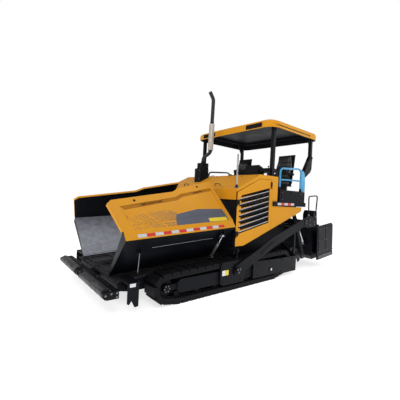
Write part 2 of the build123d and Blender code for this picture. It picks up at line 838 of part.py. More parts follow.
with BuildPart() as control_console:
    block((-905, -640), (150, 560), (deck_top, 2150))
    slab(
        side_plane(560),
        ((-660, 2150), (-640, 2380), (-700, 2560), (-860, 2500), (-905, 2380), (-905, 2150)),
        410,
    )
    # arms that reach to both seats
    slab(side_plane(980), ((-700, 2380), (-690, 2470), (-840, 2430), (-840, 2360)), 1250)
save(control_console, "control_console")

seat_x = -1330
seat_y = hood_half - 530
with BuildPart() as seat_frames:
    for side in (1, -1):
        y = side * seat_y
        block((seat_x - 150, seat_x + 170), (y - 150, y + 150), (deck_top, 2080))
        block((seat_x - 220, seat_x + 240), (y - 235, y + 235), (2080, 2110))
        # back shell
        slab(
            side_plane(y + 235),
            (
                (seat_x - 200, 2110),
                (seat_x - 250, 2300),
                (seat_x - 330, 2890),
                (seat_x - 300, 2895),
                (seat_x - 215, 2300),
                (seat_x - 165, 2110),
            ),
            470,
        )
save(seat_frames, "seat_frames")

with BuildPart() as seat_cushions:
    for side in (1, -1):
        y = side * seat_y
        block((seat_x - 150, seat_x + 240), (y - 230, y + 230), (2112, 2230))
        slab(
            side_plane(y + 225),
            (
                (seat_x - 196, 2236),
                (seat_x - 290, 2880),
                (seat_x - 190, 2860),
                (seat_x - 90, 2236),
            ),
            450,
        )
save(seat_cushions, "seat_cushions")

rail_radius = 21
rail_y = deck_half - 51
rail_front = -640
rail_back = -1500
rail_top = 2440
with BuildPart() as guard_rails:
    for side in (1, -1):
        y = side * rail_y
        hoop = (
            (rail_front, y, box_high),
            (rail_front, y, rail_top),
            (rail_back, y, rail_top + 60),
            (rail_back, y, box_high),
        )
        bent_tube(hoop, 110, rail_radius)
        rod((rail_front, y, 2190), (rail_back, y, 2215), 16, flats=6)
    # curved corner panels at the rear
    for y_low, y_high in both_sides(rail_y - 4, rail_y + 14):
        corner = (
            (rail_back + 5, 2440),
            (rail_back - 70, 2470),
            (rail_back - 150, 2400),
            (rail_back - 185, 2200),
            (rail_back - 190, deck_top),
            (box_rear, deck_top),
            (box_rear, box_high),
            (rail_back + 5, box_high),
        )
        slab(side_plane(y_high), corner, y_high - y_low)
save(guard_rails, "guard_rails")

# ---- canopy ---------------------------------------------------------------------------------------------
post_front_x = -400
post_rear_x = -1975
pin_z = 2830
with BuildPart() as canopy_posts:
    for y_low, y_high in both_sides(post_y - post_size / 2, post_y + post_size / 2):
        block(
            (post_front_x - post_size / 2, post_front_x + post_size / 2),
            (y_low, y_high),
            (hood_top_z, canopy_ceiling),
        )
        # triangular foot of the front post
        foot = (
            (post_front_x + 170, hood_top_z),
            (post_front_x + 30, hood_top_z + 190),
            (post_front_x - 30, hood_top_z + 190),
            (post_front_x - 120, hood_top_z),
        )
        slab(side_plane(y_high - 30), foot, post_size - 60)
        # rear post: straight upper tube, kinked plate bracket below its pin
        upper = (
            (post_rear_x - 36, pin_z - 60),
            (post_rear_x + 36, pin_z - 60),
            (post_rear_x + 50, canopy_ceiling),
            (post_rear_x - 22, canopy_ceiling),
        )
        slab(side_plane(y_high), upper, post_size)
        gusset = (
            (post_rear_x + 40, canopy_z - 180),
            (post_rear_x + 50, canopy_ceiling),
            (post_rear_x + 230, canopy_ceiling),
        )
        slab(side_plane(y_high - 22), gusset, post_size - 44)
        bracket = (
            (post_rear_x - 44, pin_z + 50),
            (post_rear_x + 40, pin_z + 50),
            (post_rear_x + 320, 2430),
            (box_rear, 2330),
            (box_rear, deck_top),
            (deck_rear + 5, deck_top),
            (deck_rear + 5, 2300),
            (post_rear_x + 20, 2470),
            (post_rear_x - 30, 2560),
        )
        slab(side_plane(y_high + 6), bracket, 14)
        slab(side_plane(y_low + 8), bracket, 14)
        block((deck_rear + 5, box_rear), (y_low, y_high), (deck_top, 2330))
        drum(side_plane(y_high + 34), (post_rear_x, pin_z), 14, post_size + 68, flats=8)
save(canopy_posts, "canopy_posts")

def roof_outline(inset, corner):
    """Plan of the canopy, inset from its rim, each corner cut twice like a wide rounding."""
    low, high = canopy_rear + inset, canopy_front - inset
    half = canopy_half - inset
    near, far = corner * 0.3, corner
    right = ((high - far, -half), (high - near, near - half), (high, far - half))
    left = ((high, half - far), (high - near, half - near), (high - far, half))
    back = [(low + high - x, -y) for x, y in right + left]
    return (*right, *left, *back)


with BuildPart() as canopy_roof:
    slab(Plane.XY.offset(canopy_z), roof_outline(0, 210), canopy_rim)
    chamfer(canopy_roof.faces().sort_by(Axis.Z)[-1].edges(), 26)
    # raised middle of the roof
    crown_slope = 100
    with BuildSketch(Plane.XY.offset(canopy_z + canopy_rim - 1)) as crown:
        with BuildLine():
            Polyline(*roof_outline(crown_slope, 180), close=True)
        make_face()
    extrude(crown.sketch, amount=canopy_crown + 1, taper=50)
    # open below, its ceiling raised under the crown
    slab(Plane.XY.offset(canopy_z - 1), roof_outline(35, 175), canopy_ceiling - canopy_z + 1, mode=Mode.SUBTRACT)
    slab(Plane.XY.offset(canopy_ceiling - 1), roof_outline(crown_slope + 90, 160), canopy_crown, mode=Mode.SUBTRACT)
save(canopy_roof, "canopy_roof")

# ---- push beam and rollers ---------------------------------------------------------------------------------
with BuildPart() as push_beam:
    block((beam_x0, beam_x1), (-beam_half, beam_half), (beam_z0, beam_z1))
    # clevis round the swivel pin
    for low, high in ((beam_z0, swivel_low - 4), (swivel_high + 4, beam_z1)):
        block((swivel_x - 45, beam_x0 + 24), (-80, 80), (low, high))
    block((swivel_x - 62, beam_x0 + 22), (-121, 121), (swivel_low - 4, swivel_high + 4), mode=Mode.SUBTRACT)
    bore_high = beam_z1 - beam_z0 + 10
    disc(Plane.XY.offset(beam_z0 - 5), (swivel_x, 0), swivel_pin + fit_gap, bore_high, mode=Mode.SUBTRACT)
    # room for the rollers, then their brackets
    over = (beam_z0 - 5, beam_z1 + 5)
    for y_range in both_sides(roller_in - 6, roller_out + 6):
        block((roller_x - roller_radius - 8, beam_x1 + 5), y_range, over, mode=Mode.SUBTRACT)
    block((beam_x0 + 20, roller_x + 40), (-60, 60), (beam_z0, beam_z1))
    # grooves along the top plate
    for x in (beam_x0 + 22, beam_x0 + 48):
        block((x, x + 9), (-beam_half + 60, beam_half - 60), (beam_z1 - 6, beam_z1 + 1), mode=Mode.SUBTRACT)
    for y_low, y_high in both_sides(roller_out + 12, beam_half):
        slab(
            side_plane(y_high),
            (
                (beam_x1 - 2, beam_z0),
                (roller_x + 50, beam_z0 + 14),
                (roller_x + 74, roller_z - 20),
                (roller_x + 74, roller_z + 20),
                (roller_x + 50, beam_z1 - 8),
                (beam_x1 - 2, beam_z1),
            ),
            y_high - y_low,
        )
    for y_low, y_high in both_sides(60, roller_in - 12):
        slab(
            side_plane(y_high),
            (
                (beam_x1 - 20, beam_z0 + 10),
                (roller_x + 50, beam_z0 + 20),
                (roller_x + 62, roller_z),
                (roller_x + 50, beam_z1 - 10),
                (beam_x1 - 20, beam_z1 - 2),
            ),
            y_high - y_low,
        )
    # journal bores
    for y_low, y_high in both_sides(roller_in - 46, roller_in - 4):
        drum(side_plane(y_high), (roller_x, roller_z), 27, y_high - y_low, 8, Mode.SUBTRACT)
    for y_low, y_high in both_sides(roller_out + 4, roller_out + 46):
        drum(side_plane(y_high), (roller_x, roller_z), 27, y_high - y_low, 8, Mode.SUBTRACT)
save(push_beam, "push_beam")

with BuildPart() as push_roller_left:
    drum(side_plane(roller_out), (roller_x, roller_z), roller_radius, roller_out - roller_in, flats=20)
    disc(side_plane(roller_out + 40), (roller_x, roller_z), 23, 40)
    drum(side_plane(roller_in), (roller_x, roller_z), 23, 40, flats=8)
save(push_roller_left, "push_roller_left")
save_mirrored(push_roller_left, "push_roller_right")

# ---- tow guides on the track frames --------------------------------------------------------------
with BuildPart() as tow_guides:
    for side in (1, -1):
        face = track_outer + 22 if side > 0 else -track_outer - 8
        guide = (
            (tow_x + 415, 180),
            (tow_x + 415, 470),
            (tow_x + 365, 552),
            (tow_x - 175, 552),
            (tow_x - 215, 480),
            (tow_x - 215, 130),
            (tow_x + 345, 130),
        )
        slab(side_plane(face), guide, 14)
    for y_low, y_high in both_sides(track_outer - 20, arm_in + arm_thick + 12):
        drum(side_plane(y_high), (tow_x, tow_z), tow_pin - 1, y_high - y_low)
        spacer = (y_low, y_low + 30) if y_low > 0 else (y_high - 30, y_high)
        drum(side_plane(spacer[1]), (tow_x + 245, 260), 60, 30, flats=8)
    # rods of the levelling cylinders
    for side in (1, -1):
        y = side * (track_outer + 15)
        rod((tow_x, y, 545), (tow_x, y, 722), 12)
save(tow_guides, "tow_guides")

# side guards outside the tracks' rear ends and the auger tunnel behind them
guard_in = track_outer + 8
guard_x = frame_rear + 70
with BuildPart() as side_guards:
    for y_low, y_high in both_sides(guard_in, arm_in - arm_gap):
        panel = (
            (240, 130),
            (240, 440),
            (200, 470),
            (-700, 440),
            (guard_x, 440),
            (guard_x, 90),
            (-740, 90),
            (-700, 130),
        )
        slab(side_plane(y_high), panel, y_high - y_low)
    for y_low, y_high in both_sides(frame_half, guard_in):
        tunnel_wall = ((y_low, 90), (y_high, 90), (y_high, 440), (y_low, 700))
        if y_low < 0:
            tunnel_wall = ((y_low, 90), (y_high, 90), (y_high, 700), (y_low, 440))
        slab(cross_plane(guard_x), tunnel_wall, 22)
    leg = (
        (guard_x, 90),
        (guard_x, 1010),
        (guard_x - 52, 1010),
        (guard_x - 70, 60),
        (guard_x - 50, 60),
    )
    for y_low, y_high in both_sides(track_outer - 79, track_outer - 53):
        slab(side_plane(y_high), leg, y_high - y_low)
save(side_guards, "side_guards")

# ---- augers -----------------------------------------------------------------------------------------------
auger_in = 75
auger_out = track_outer - 135
hanger = 24
with BuildPart() as auger_frame:
    case = (
        (frame_rear, bed_z - 40),
        (frame_rear - 300, bed_z - 40),
        (auger_x - 70, auger_z + 80),
        (auger_x - 70, auger_z - 60),
        (auger_x + 70, auger_z - 90),
        (frame_rear, 520),
    )
    slab(side_plane(45), case, 90)
    block((frame_rear - 200, frame_rear - 60), (-auger_out - hanger - 4, auger_out + hanger + 4), (980, 1090))
    block((frame_rear - 62, frame_rear), (-700, -500), (1000, 1080))
    block((frame_rear - 62, frame_rear), (500, 700), (1000, 1080))
    for y_low, y_high in both_sides(auger_out + 6, auger_out + 6 + hanger):
        arm = (
            (frame_rear - 60, 1090),
            (frame_rear - 200, 1090),
            (auger_x - 60, auger_z + 40),
            (auger_x - 60, auger_z - 60),
            (auger_x + 60, auger_z - 60),
            (auger_x + 60, auger_z + 120),
        )
        slab(side_plane(y_high), arm, y_high - y_low)
        drum(side_plane(y_high), (auger_x, auger_z), 32, y_high - y_low, mode=Mode.SUBTRACT)
    drum(side_plane(45), (auger_x, auger_z), 32, 90, mode=Mode.SUBTRACT)
save(auger_frame, "auger_frame")

flights = int((auger_out - auger_in) // auger_pitch)
with BuildPart() as auger_left:
    drum(side_plane(auger_out), (auger_x, auger_z), auger_shaft - 2, auger_out - auger_in, flats=8)
    disc(side_plane(auger_out + hanger + 6), (auger_x, auger_z), 27, hanger + 6)
    drum(side_plane(auger_in), (auger_x, auger_z), 27, auger_in - 10, flats=8)
    # each turn is two half-turn blades bolted end to end
    blade_angles = [math.radians(22.5 * step - 90) for step in range(9)]
    half_disc = [(auger_radius * math.cos(a), auger_radius * math.sin(a)) for a in blade_angles]
    tilt = math.atan(auger_pitch / 4 / auger_radius)
    for turn in range(flights):
        for half, face in ((0, 1), (1, -1)):
            y = auger_in + 70 + (turn + 0.25 + half / 2) * auger_pitch
            with BuildSketch(
                Plane(
                    origin=(auger_x, y, auger_z),
                    x_dir=(1, 0, 0),
                    z_dir=(0, -math.cos(tilt), face * math.sin(tilt)),
                )
            ):
                with BuildLine():
                    Polyline(*[(face * x, y) for x, y in half_disc], close=True)
                make_face()
            extrude(amount=7, both=True)
save(auger_left, "auger_left")
save_mirrored(auger_left, "auger_right")

# ---- tow arms ------------------------------------------------------------------------------------
with BuildPart() as tow_arms:
    outline = (
        (75, 300),
        (95, 380),
        (60, 455),
        (-200, 545),
        (-660, 688),
        (-1089, 856),
        (-2546, 1180),
        (-2700, 1168),
        (-2900, 1060),
        (-2900, 900),
        (-2560, 900),
        (-2330, 950),
        (-1866, 828),
        (-1100, 628),
        (-640, 470),
        (-60, 285),
    )
    for side in (1, -1):
        y = arm_in + arm_thick if side > 0 else -arm_in
        slab(screed_side(y), outline, arm_thick)
        disc(screed_side(y), (0, tow_z), tow_pin + fit_gap, arm_thick, mode=Mode.SUBTRACT)
    # cross tube between the arms
    slab(
        screed_side(arm_in),
        ((-2900, 905), (-2900, 1035), (-2770, 1035), (-2770, 905)),
        2 * arm_in,
    )
save(tow_arms, "tow_arms")

# ---- screed --------------------------------------------------------------------------------------
main_rear = screed_front - main_depth
guide_x = main_rear - 68
lift_eye = (-2895, 420)
with BuildPart() as screed_main:
    body = (
        (screed_front, 0),
        (screed_front + 13, 60),
        (screed_front + 13, 300),
        (-2875, screed_high - 20),
        (-2875, screed_high),
        (main_rear + 60, screed_high),
        (main_rear, screed_high - 190),
        (main_rear, 0),
    )
    slab(screed_side(main_half), body, 2 * main_half)
    # hollow inside, with a window in each end plate
    hollow = (
        (screed_front - screed_wall, 45),
        (screed_front - 28, 310),
        (-2926, screed_high - 60),
        (main_rear + 88, screed_high - 60),
        (main_rear + screed_wall, screed_high - 205),
        (main_rear + screed_wall, 45),
    )
    slab(screed_side(main_half - 20), hollow, 2 * main_half - 40, mode=Mode.SUBTRACT)
    window = ((-3080, 150), (-3080, 560), (main_rear + 80, 560), (main_rear + 80, 150))
    slab(screed_side(main_half + 5), window, 2 * main_half + 10, mode=Mode.SUBTRACT)
    # uprights to the cross tube of the tow arms
    upright = (
        (-2880, screed_high - 4),
        (-3120, screed_high - 4),
        (-2960, 1035),
        (-2901, 1035),
        (-2901, 905),
        (-2880, 903),
    )
    for y_low, y_high in both_sides(560, 600) + both_sides(main_half - 70, main_half - 30):
        slab(
            screed_side(y_high),
            upright,
            y_high - y_low,
        )
    # brackets that guide the extensions
    for y_low, y_high in both_sides(main_half - 210, main_half - 170) + both_sides(main_half - 50, main_half):
        slab(
            screed_side(y_high),
            ((main_rear + 2, 220), (main_rear - 112, 240), (main_rear - 112, 580), (main_rear + 2, 600)),
            y_high - y_low,
        )
        for z in guide_heights:
            drum(screed_side(y_high), (guide_x, z), guide_radius + fit_gap, y_high - y_low, 8, Mode.SUBTRACT)
    # operator's boxes on top
    for y_low, y_high in both_sides(main_half - 320, main_half - 20):
        slab(
            screed_side(y_high),
            ((-3100, screed_high), (-3100, 1150), (-3160, 1260), (-3280, 1235), (-3300, screed_high)),
            y_high - y_low,
        )
    # ears for the lift cylinders
    for side in (1, -1):
        for offset in (28, -44):
            plane = screed_side(side * lift_y + offset + 16)
            slab(plane, ((-2994, 330), (-2984, 510), (-2870, 460), (-2858, 420), (-2875, 385)), 16)
save(screed_main, "screed_main")

extension_front = main_rear - 128
extension_rear = extension_front - extension_depth
with BuildPart() as screed_extension_left:
    end_in = arm_in - 3
    profile = (
        (extension_front, 0),
        (extension_front, extension_high - 40),
        (extension_front - 40, extension_high),
        (extension_rear + 60, extension_high),
        (extension_rear, extension_high - 90),
        (extension_rear, 0),
    )
    slab(screed_side(end_in), profile, end_in - 30)
    # box section, open at its inner end
    inner = (
        (extension_front - 55, 65),
        (extension_front - 55, extension_high - 100),
        (extension_rear + 88, extension_high - 100),
        (extension_rear + 55, extension_high - 140),
        (extension_rear + 55, 65),
    )
    slab(screed_side(end_in - 20), inner, end_in - 45, mode=Mode.SUBTRACT)
    gate = (
        (screed_front - 2, 8),
        (screed_front - 2, screed_high - 25),
        (screed_front - 30, screed_high),
        (extension_rear + 60, screed_high + 24),
        (extension_rear - 6, screed_high - 40),
        (extension_rear - 6, 8),
    )
    slab(screed_side(arm_in + arm_thick), gate, arm_thick + 4)
    for z in guide_heights:
        drum(screed_side(end_in), (guide_x, z), guide_radius, end_in - 60, flats=8)
    # bolt holes for a fixed bolt-on extension
    for x, z in ((-3160, 180), (-3160, 560), (-3640, 180), (-3640, 560)):
        drum(screed_side(arm_in + arm_thick), (x, z), 13, 24, flats=8, mode=Mode.SUBTRACT)
    # foot rail at the rear
    rail_end, rail_start = extension_rear - 103, extension_rear + 2
    rail = ((rail_end, 150), (rail_end, 180), (rail_start, 180), (rail_start, 150))
    slab(screed_side(end_in), rail, end_in - 200)
save(screed_extension_left, "screed_extension_left")
save_mirrored(screed_extension_left, "screed_extension_right")

with BuildPart() as screed_handrails:
    for side in (1, -1):
        y = side * (arm_in + arm_thick / 2)
        plane = screed_side(y)
        hoop = ((-2560, 1181), (-2560, 1672), (-2985, 1672), (-2885, 1080))
        loop = [tuple(plane.from_local_coords((x, z, 0))) for x, z in hoop]
        bent_tube(loop, 60, 13, flats=6)
save(screed_handrails, "screed_handrails")

# ---- lift cylinders ------------------------------------------------------------------------------
eye_place = screed_side(0).from_local_coords((*lift_eye, 0))
lift_run = (eye_place.X - lift_pin[0], eye_place.Z - lift_pin[1])
lift_reach = math.hypot(*lift_run)
lift_unit = Vector(lift_run[0] / lift_reach, 0, lift_run[1] / lift_reach)
lift_barrel = 560


def on_lift(side, distance):
    """A point of a lift cylinder's axis below its upper pin."""
    return Vector(lift_pin[0], side * lift_y, lift_pin[1]) + lift_unit * distance


with BuildPart() as lift_barrels:
    for side in (1, -1):
        drum(Plane(origin=on_lift(side, 72), z_dir=lift_unit), (0, 0), 48, lift_barrel - 72)
        drum(Plane(origin=on_lift(side, 90), z_dir=lift_unit), (0, 0), 32, lift_barrel, 8, Mode.SUBTRACT)
        neck = on_lift(side, 80)
        round_lug(side_plane(side * lift_y + 26), lift_pin, 34, (neck.X, neck.Z), 52)
        drum(side_plane(side * lift_y + 50), lift_pin, lift_pin_radius, 100, flats=8)
save(lift_barrels, "lift_barrels")

with BuildPart() as lift_rods:
    for side in (1, -1):
        drum(Plane(origin=on_lift(side, 330), z_dir=lift_unit), (0, 0), 25, lift_reach - 330, flats=10)
        drum(side_plane(side * lift_y + 25), (eye_place.X, eye_place.Z), 32, 50)
save(lift_rods, "lift_rods")
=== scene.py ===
"""Finishes, fastenings, seats and small fittings of a tracked asphalt paver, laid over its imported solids.

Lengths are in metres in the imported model's own frame: +X to the hopper, +Y to the machine's left, +Z up.
"""

import json
import logging
import math
from collections.abc import Callable, Iterable, Sequence
from dataclasses import dataclass, field
from enum import Enum

import bmesh
import bpy
from mathutils import Matrix, Vector

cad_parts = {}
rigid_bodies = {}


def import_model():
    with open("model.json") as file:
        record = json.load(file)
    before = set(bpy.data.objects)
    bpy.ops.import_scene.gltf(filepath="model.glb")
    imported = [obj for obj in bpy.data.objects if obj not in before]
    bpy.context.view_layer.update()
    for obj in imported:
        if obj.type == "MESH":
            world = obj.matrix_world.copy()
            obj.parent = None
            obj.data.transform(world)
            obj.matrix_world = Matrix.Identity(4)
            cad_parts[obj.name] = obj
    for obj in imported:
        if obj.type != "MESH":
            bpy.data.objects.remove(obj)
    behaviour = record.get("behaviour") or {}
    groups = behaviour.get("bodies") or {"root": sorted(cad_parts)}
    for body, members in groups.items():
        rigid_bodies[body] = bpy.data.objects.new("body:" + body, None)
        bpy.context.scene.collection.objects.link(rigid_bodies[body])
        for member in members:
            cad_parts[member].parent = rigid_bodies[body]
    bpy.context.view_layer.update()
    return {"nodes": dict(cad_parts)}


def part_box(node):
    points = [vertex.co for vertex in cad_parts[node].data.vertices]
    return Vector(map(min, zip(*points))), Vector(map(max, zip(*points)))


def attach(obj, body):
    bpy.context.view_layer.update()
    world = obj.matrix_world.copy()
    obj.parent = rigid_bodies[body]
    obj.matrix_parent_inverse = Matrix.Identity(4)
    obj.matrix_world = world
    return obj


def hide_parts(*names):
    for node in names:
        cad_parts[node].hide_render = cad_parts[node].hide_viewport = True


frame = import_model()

LOG = logging.getLogger("paver")

Point = tuple[float, float, float]
Colour = tuple[float, float, float]
Pair = tuple[float, float]
Piece = bpy.types.Object
Node = bpy.types.Node
Socket = bpy.types.NodeSocket
SIDES = {"left": 1, "right": -1}
UP = Vector((0, 0, 1))
NUMBER, VECTOR, GEOMETRY = "NodeSocketFloat", "NodeSocketVector", "NodeSocketGeometry"
FILM = 0.0012
COAT_ROUGHNESS = 0.12
SWELL_FRAMES = 20
BOLT_HEIGHT_SHARE = 0.62


class Slot(Enum):
    """The record's material slots."""

    YELLOW = "machine_yellow"
    BLACK = "machine_black"
    STEEL = "hopper_steel"
    PAD = "track_shoe"
    SEAT = "seat_vinyl"
    EXHAUST = "exhaust_steel"
    PLASTIC = "console_plastic"
    ZINC = "zinc_rod"


# ---- directions of the sloping hopper, its wings and the raised screed ----


@dataclass(frozen=True)
class HopperBed:
    """The hopper's own directions: along its floor, across it and square to it."""

    front: float = 3.0
    height: float = 0.45
    pitch: float = math.radians(3.2)

    def at(self, along: float, across: float, above: float) -> Vector:
        """A point of the model's frame.

        Args:
            along: metres ahead of the hinge line's front end.
            across: metres to the left of the middle.
            above: metres square to the floor.

        Returns:
            The point.
        """
        cos, sin = math.cos(self.pitch), math.sin(self.pitch)
        return Vector((self.front + along * cos + above * sin, across, self.height - along * sin + above * cos))

    def turn(self, along: float, across: float, above: float) -> Vector:
        """A direction given in the hopper's own axes, in the model's frame."""
        return self.at(along, across, above) - self.at(0, 0, 0)


BED = HopperBed()


@dataclass(frozen=True)
class WingFace:
    """The outer side of a wing: its upper plate, the strip below the crease and the sloping floor."""

    side: int
    crease: Pair = (1.2, 0.73)
    knee: Pair = (1.28, 0.61)
    toe: Pair = (0.662, -0.024)
    lean: float = math.radians(41.3)

    def _place(self, start: Pair, run: Pair, along: float, down: float, out: float) -> Vector:
        """A point a given way down a flat whose section runs from start in the direction run."""
        length = math.hypot(*run)
        run = (run[0] / length, run[1] / length)
        outward = (-run[1], run[0]) if run[1] < 0 else (run[1], -run[0])
        across = start[0] + run[0] * down + outward[0] * out
        above = start[1] + run[1] * down + outward[1] * out
        return BED.at(along, self.side * across, above)

    def upper(self, along: float, up: float, out: float = 0.0) -> Vector:
        """A point of the upper plate, up from the crease and out from its face."""
        return self._place(self.crease, (-math.sin(self.lean), math.cos(self.lean)), along, up, out)

    def strip(self, along: float, down: float, out: float = 0.0) -> Vector:
        """A point of the strip between the crease and the knee."""
        run = (self.knee[0] - self.crease[0], self.knee[1] - self.crease[1])
        return self._place(self.crease, run, along, down, -out if run[1] > 0 else out)

    def under(self, along: float, up: float, out: float = 0.0) -> Vector:
        """A point of the floor's underside, up from its hinge."""
        run = (self.knee[0] - self.toe[0], self.knee[1] - self.toe[1])
        return self._place(self.toe, run, along, up, out)


@dataclass(frozen=True)
class ScreedBed:
    """The raised screed's own directions, from the ground below the tow pins."""

    pin: Pair = (0.735, 0.38)
    turn: float = math.radians(4.2)

    def at(self, along: float, across: float, above: float) -> Vector:
        """A point of the model's frame from one given along the screed's arms and up from its sole."""
        cos, sin = math.cos(self.turn), math.sin(self.turn)
        rise = above - self.pin[1]
        return Vector((self.pin[0] + along * cos + rise * sin, across, self.pin[1] - along * sin + rise * cos))

    def ahead(self) -> Vector:
        """The direction along the arms."""
        return self.at(1, 0, 0) - self.at(0, 0, 0)

    def up(self) -> Vector:
        """The direction square to the sole."""
        return self.at(0, 0, 1) - self.at(0, 0, 0)


SCREED = ScreedBed()


# ---- node graphs ----


class Graph:
    """A thin hand on a node tree: nodes are added with their inputs given by name."""

    def __init__(self, tree: bpy.types.NodeTree) -> None:
        """Keeps the tree that the nodes go into."""
        self.tree = tree

    def add(self, kind: str, inputs: dict | None = None, **settings: object) -> Node:
        """Adds a node.

        Args:
            kind: the node's Blender type name.
            inputs: socket name or number to a value or to another node's socket.
            settings: properties of the node itself.

        Returns:
            The node.
        """
        node = self.tree.nodes.new(kind)
        for key, value in settings.items():
            setattr(node, key, value)
        for key, value in (inputs or {}).items():
            socket = node.inputs[key]
            if isinstance(value, Socket):
                self.tree.links.new(value, socket)
            else:
                socket.default_value = value
        return node

    def math(self, operation: str, *values: object, clamp: bool = False) -> Socket:
        """The result of a maths node on one to three values or sockets."""
        node = self.add("ShaderNodeMath", dict(enumerate(values)), operation=operation, use_clamp=clamp)
        return node.outputs[0]

    def mix(self, factor: object, first: object, second: object) -> Socket:
        """A colour between two colours."""
        return self.add("ShaderNodeMix", {0: factor, 6: first, 7: second}, data_type="RGBA").outputs[2]

    def blend(self, factor: object, first: object, second: object) -> Socket:
        """A number between two numbers."""
        return self.add("ShaderNodeMix", {0: factor, 2: first, 3: second}, data_type="FLOAT").outputs[0]

    def spread(self, value: object, start: Pair, end: Pair = (0.0, 1.0)) -> Socket:
        """A number carried from one range to another."""
        return self.add("ShaderNodeMapRange", {"Value": value, "From Min": start[0], "From Max": start[1],
                                               "To Min": end[0], "To Max": end[1]}).outputs[0]

    def noise(self, scale: object, detail: float, roughness: float = 0.5, place: object = None) -> Socket:
        """Noise in object coordinates, or in those given."""
        if place is None:
            place = self.add("ShaderNodeTexCoord").outputs["Object"]
        return self.add("ShaderNodeTexNoise", {"Vector": place, "Scale": scale, "Detail": detail,
                                               "Roughness": roughness}).outputs[0]

    def attribute(self, name: str, kind: str = "FLOAT_VECTOR") -> Socket:
        """A named attribute of the points."""
        return self.add("GeometryNodeInputNamedAttribute", {"Name": name}, data_type=kind).outputs[0]

    def vector(self, **parts: object) -> Socket:
        """A vector put together from its X, Y and Z."""
        return self.add("ShaderNodeCombineXYZ", parts).outputs[0]

    def finish(self, made: Node, **results: Socket) -> None:
        """Leads results into a group's outputs of the same names."""
        for label, result in results.items():
            self.tree.links.new(result, made.inputs[label])

    def group(self, name: str, inputs: dict) -> Node:
        """Places a shader group by name and sets its inputs."""
        return self.add("ShaderNodeGroup", inputs, node_tree=bpy.data.node_groups[name])


def new_group(name: str, kind: str, inputs: Sequence[tuple], outputs: Sequence[tuple]) -> tuple[Graph, Node, Node]:
    """Starts a node group with named sockets.

    Args:
        name: the group's name.
        kind: ShaderNodeTree or GeometryNodeTree.
        inputs: (name, socket type, default or None) of each input.
        outputs: (name, socket type) of each output.

    Returns:
        The graph, its input node and its output node.
    """
    tree = bpy.data.node_groups.new(name, kind)
    for label, socket_type, default in inputs:
        socket = tree.interface.new_socket(label, in_out="INPUT", socket_type=socket_type)
        if default is not None:
            socket.default_value = default
    for label, socket_type in outputs:
        tree.interface.new_socket(label, in_out="OUTPUT", socket_type=socket_type)
    graph = Graph(tree)
    return graph, graph.add("NodeGroupInput"), graph.add("NodeGroupOutput")


def build_shader_groups() -> None:
    """Builds the effects that several finishes share: worn edges, settled dust, mottling and scratches."""
    shader_tree = "ShaderNodeTree"
    graph, given, made = new_group("worn edges", shader_tree, [("Radius", NUMBER, 0.004), ("Wear", NUMBER, 0.3)],
                                   [("Mask", NUMBER), ("Normal", VECTOR)])
    rounded = graph.add("ShaderNodeBevel", {"Radius": given.outputs["Radius"]}, samples=4).outputs[0]
    true_normal = graph.add("ShaderNodeNewGeometry").outputs["Normal"]
    alike = graph.add("ShaderNodeVectorMath", {0: rounded, 1: true_normal}, operation="DOT_PRODUCT")
    bend = graph.math("SUBTRACT", 1.0, alike.outputs["Value"])
    limit = graph.math("ADD", graph.math("SUBTRACT", 1.0, given.outputs["Wear"]), 0.42)
    chips = graph.math("ADD", graph.noise(34.0, 5.0, 0.65), graph.math("MULTIPLY", bend, 2.0))
    near_edge = graph.math("MULTIPLY", bend, 9.0, clamp=True)
    mask = graph.math("MULTIPLY", graph.math("GREATER_THAN", chips, limit), near_edge, clamp=True)
    graph.finish(made, Mask=mask, Normal=rounded)

    graph, given, made = new_group("settled dust", shader_tree, [("Amount", NUMBER, 0.3)], [("Mask", NUMBER)])
    up = graph.add("ShaderNodeSeparateXYZ", {0: graph.add("ShaderNodeNewGeometry").outputs["Normal"]}).outputs["Z"]
    lying = graph.spread(up, (-0.2, 0.9), (0.12, 1.0))
    patch = graph.spread(graph.noise(5.0, 8.0, 0.7), (0.35, 0.72))
    graph.finish(made, Mask=graph.math("MULTIPLY", graph.math("MULTIPLY", lying, patch), given.outputs["Amount"],
                                       clamp=True))

    graph, given, made = new_group("mottle and grain", shader_tree,
                                   [("Mottle Scale", NUMBER, 3.0), ("Grain Scale", NUMBER, 300.0)],
                                   [("Mottle", NUMBER), ("Grain", NUMBER)])
    graph.finish(made, Mottle=graph.noise(given.outputs["Mottle Scale"], 4.0),
                 Grain=graph.noise(given.outputs["Grain Scale"], 2.0))

    graph, given, made = new_group("rubbed streaks", shader_tree,
                                   [("Amount", NUMBER, 0.3), ("Stretch", VECTOR, (1.0, 12.0, 12.0))],
                                   [("Mask", NUMBER)])
    place = graph.add("ShaderNodeTexCoord").outputs["Object"]
    drawn = graph.add("ShaderNodeVectorMath", {0: place, 1: given.outputs["Stretch"]},
                      operation="MULTIPLY").outputs[0]
    streak = graph.spread(graph.noise(3.0, 9.0, 0.75, drawn), (0.46, 0.66))
    graph.finish(made, Mask=graph.math("MULTIPLY", streak, given.outputs["Amount"], clamp=True))


# ---- finishes ----


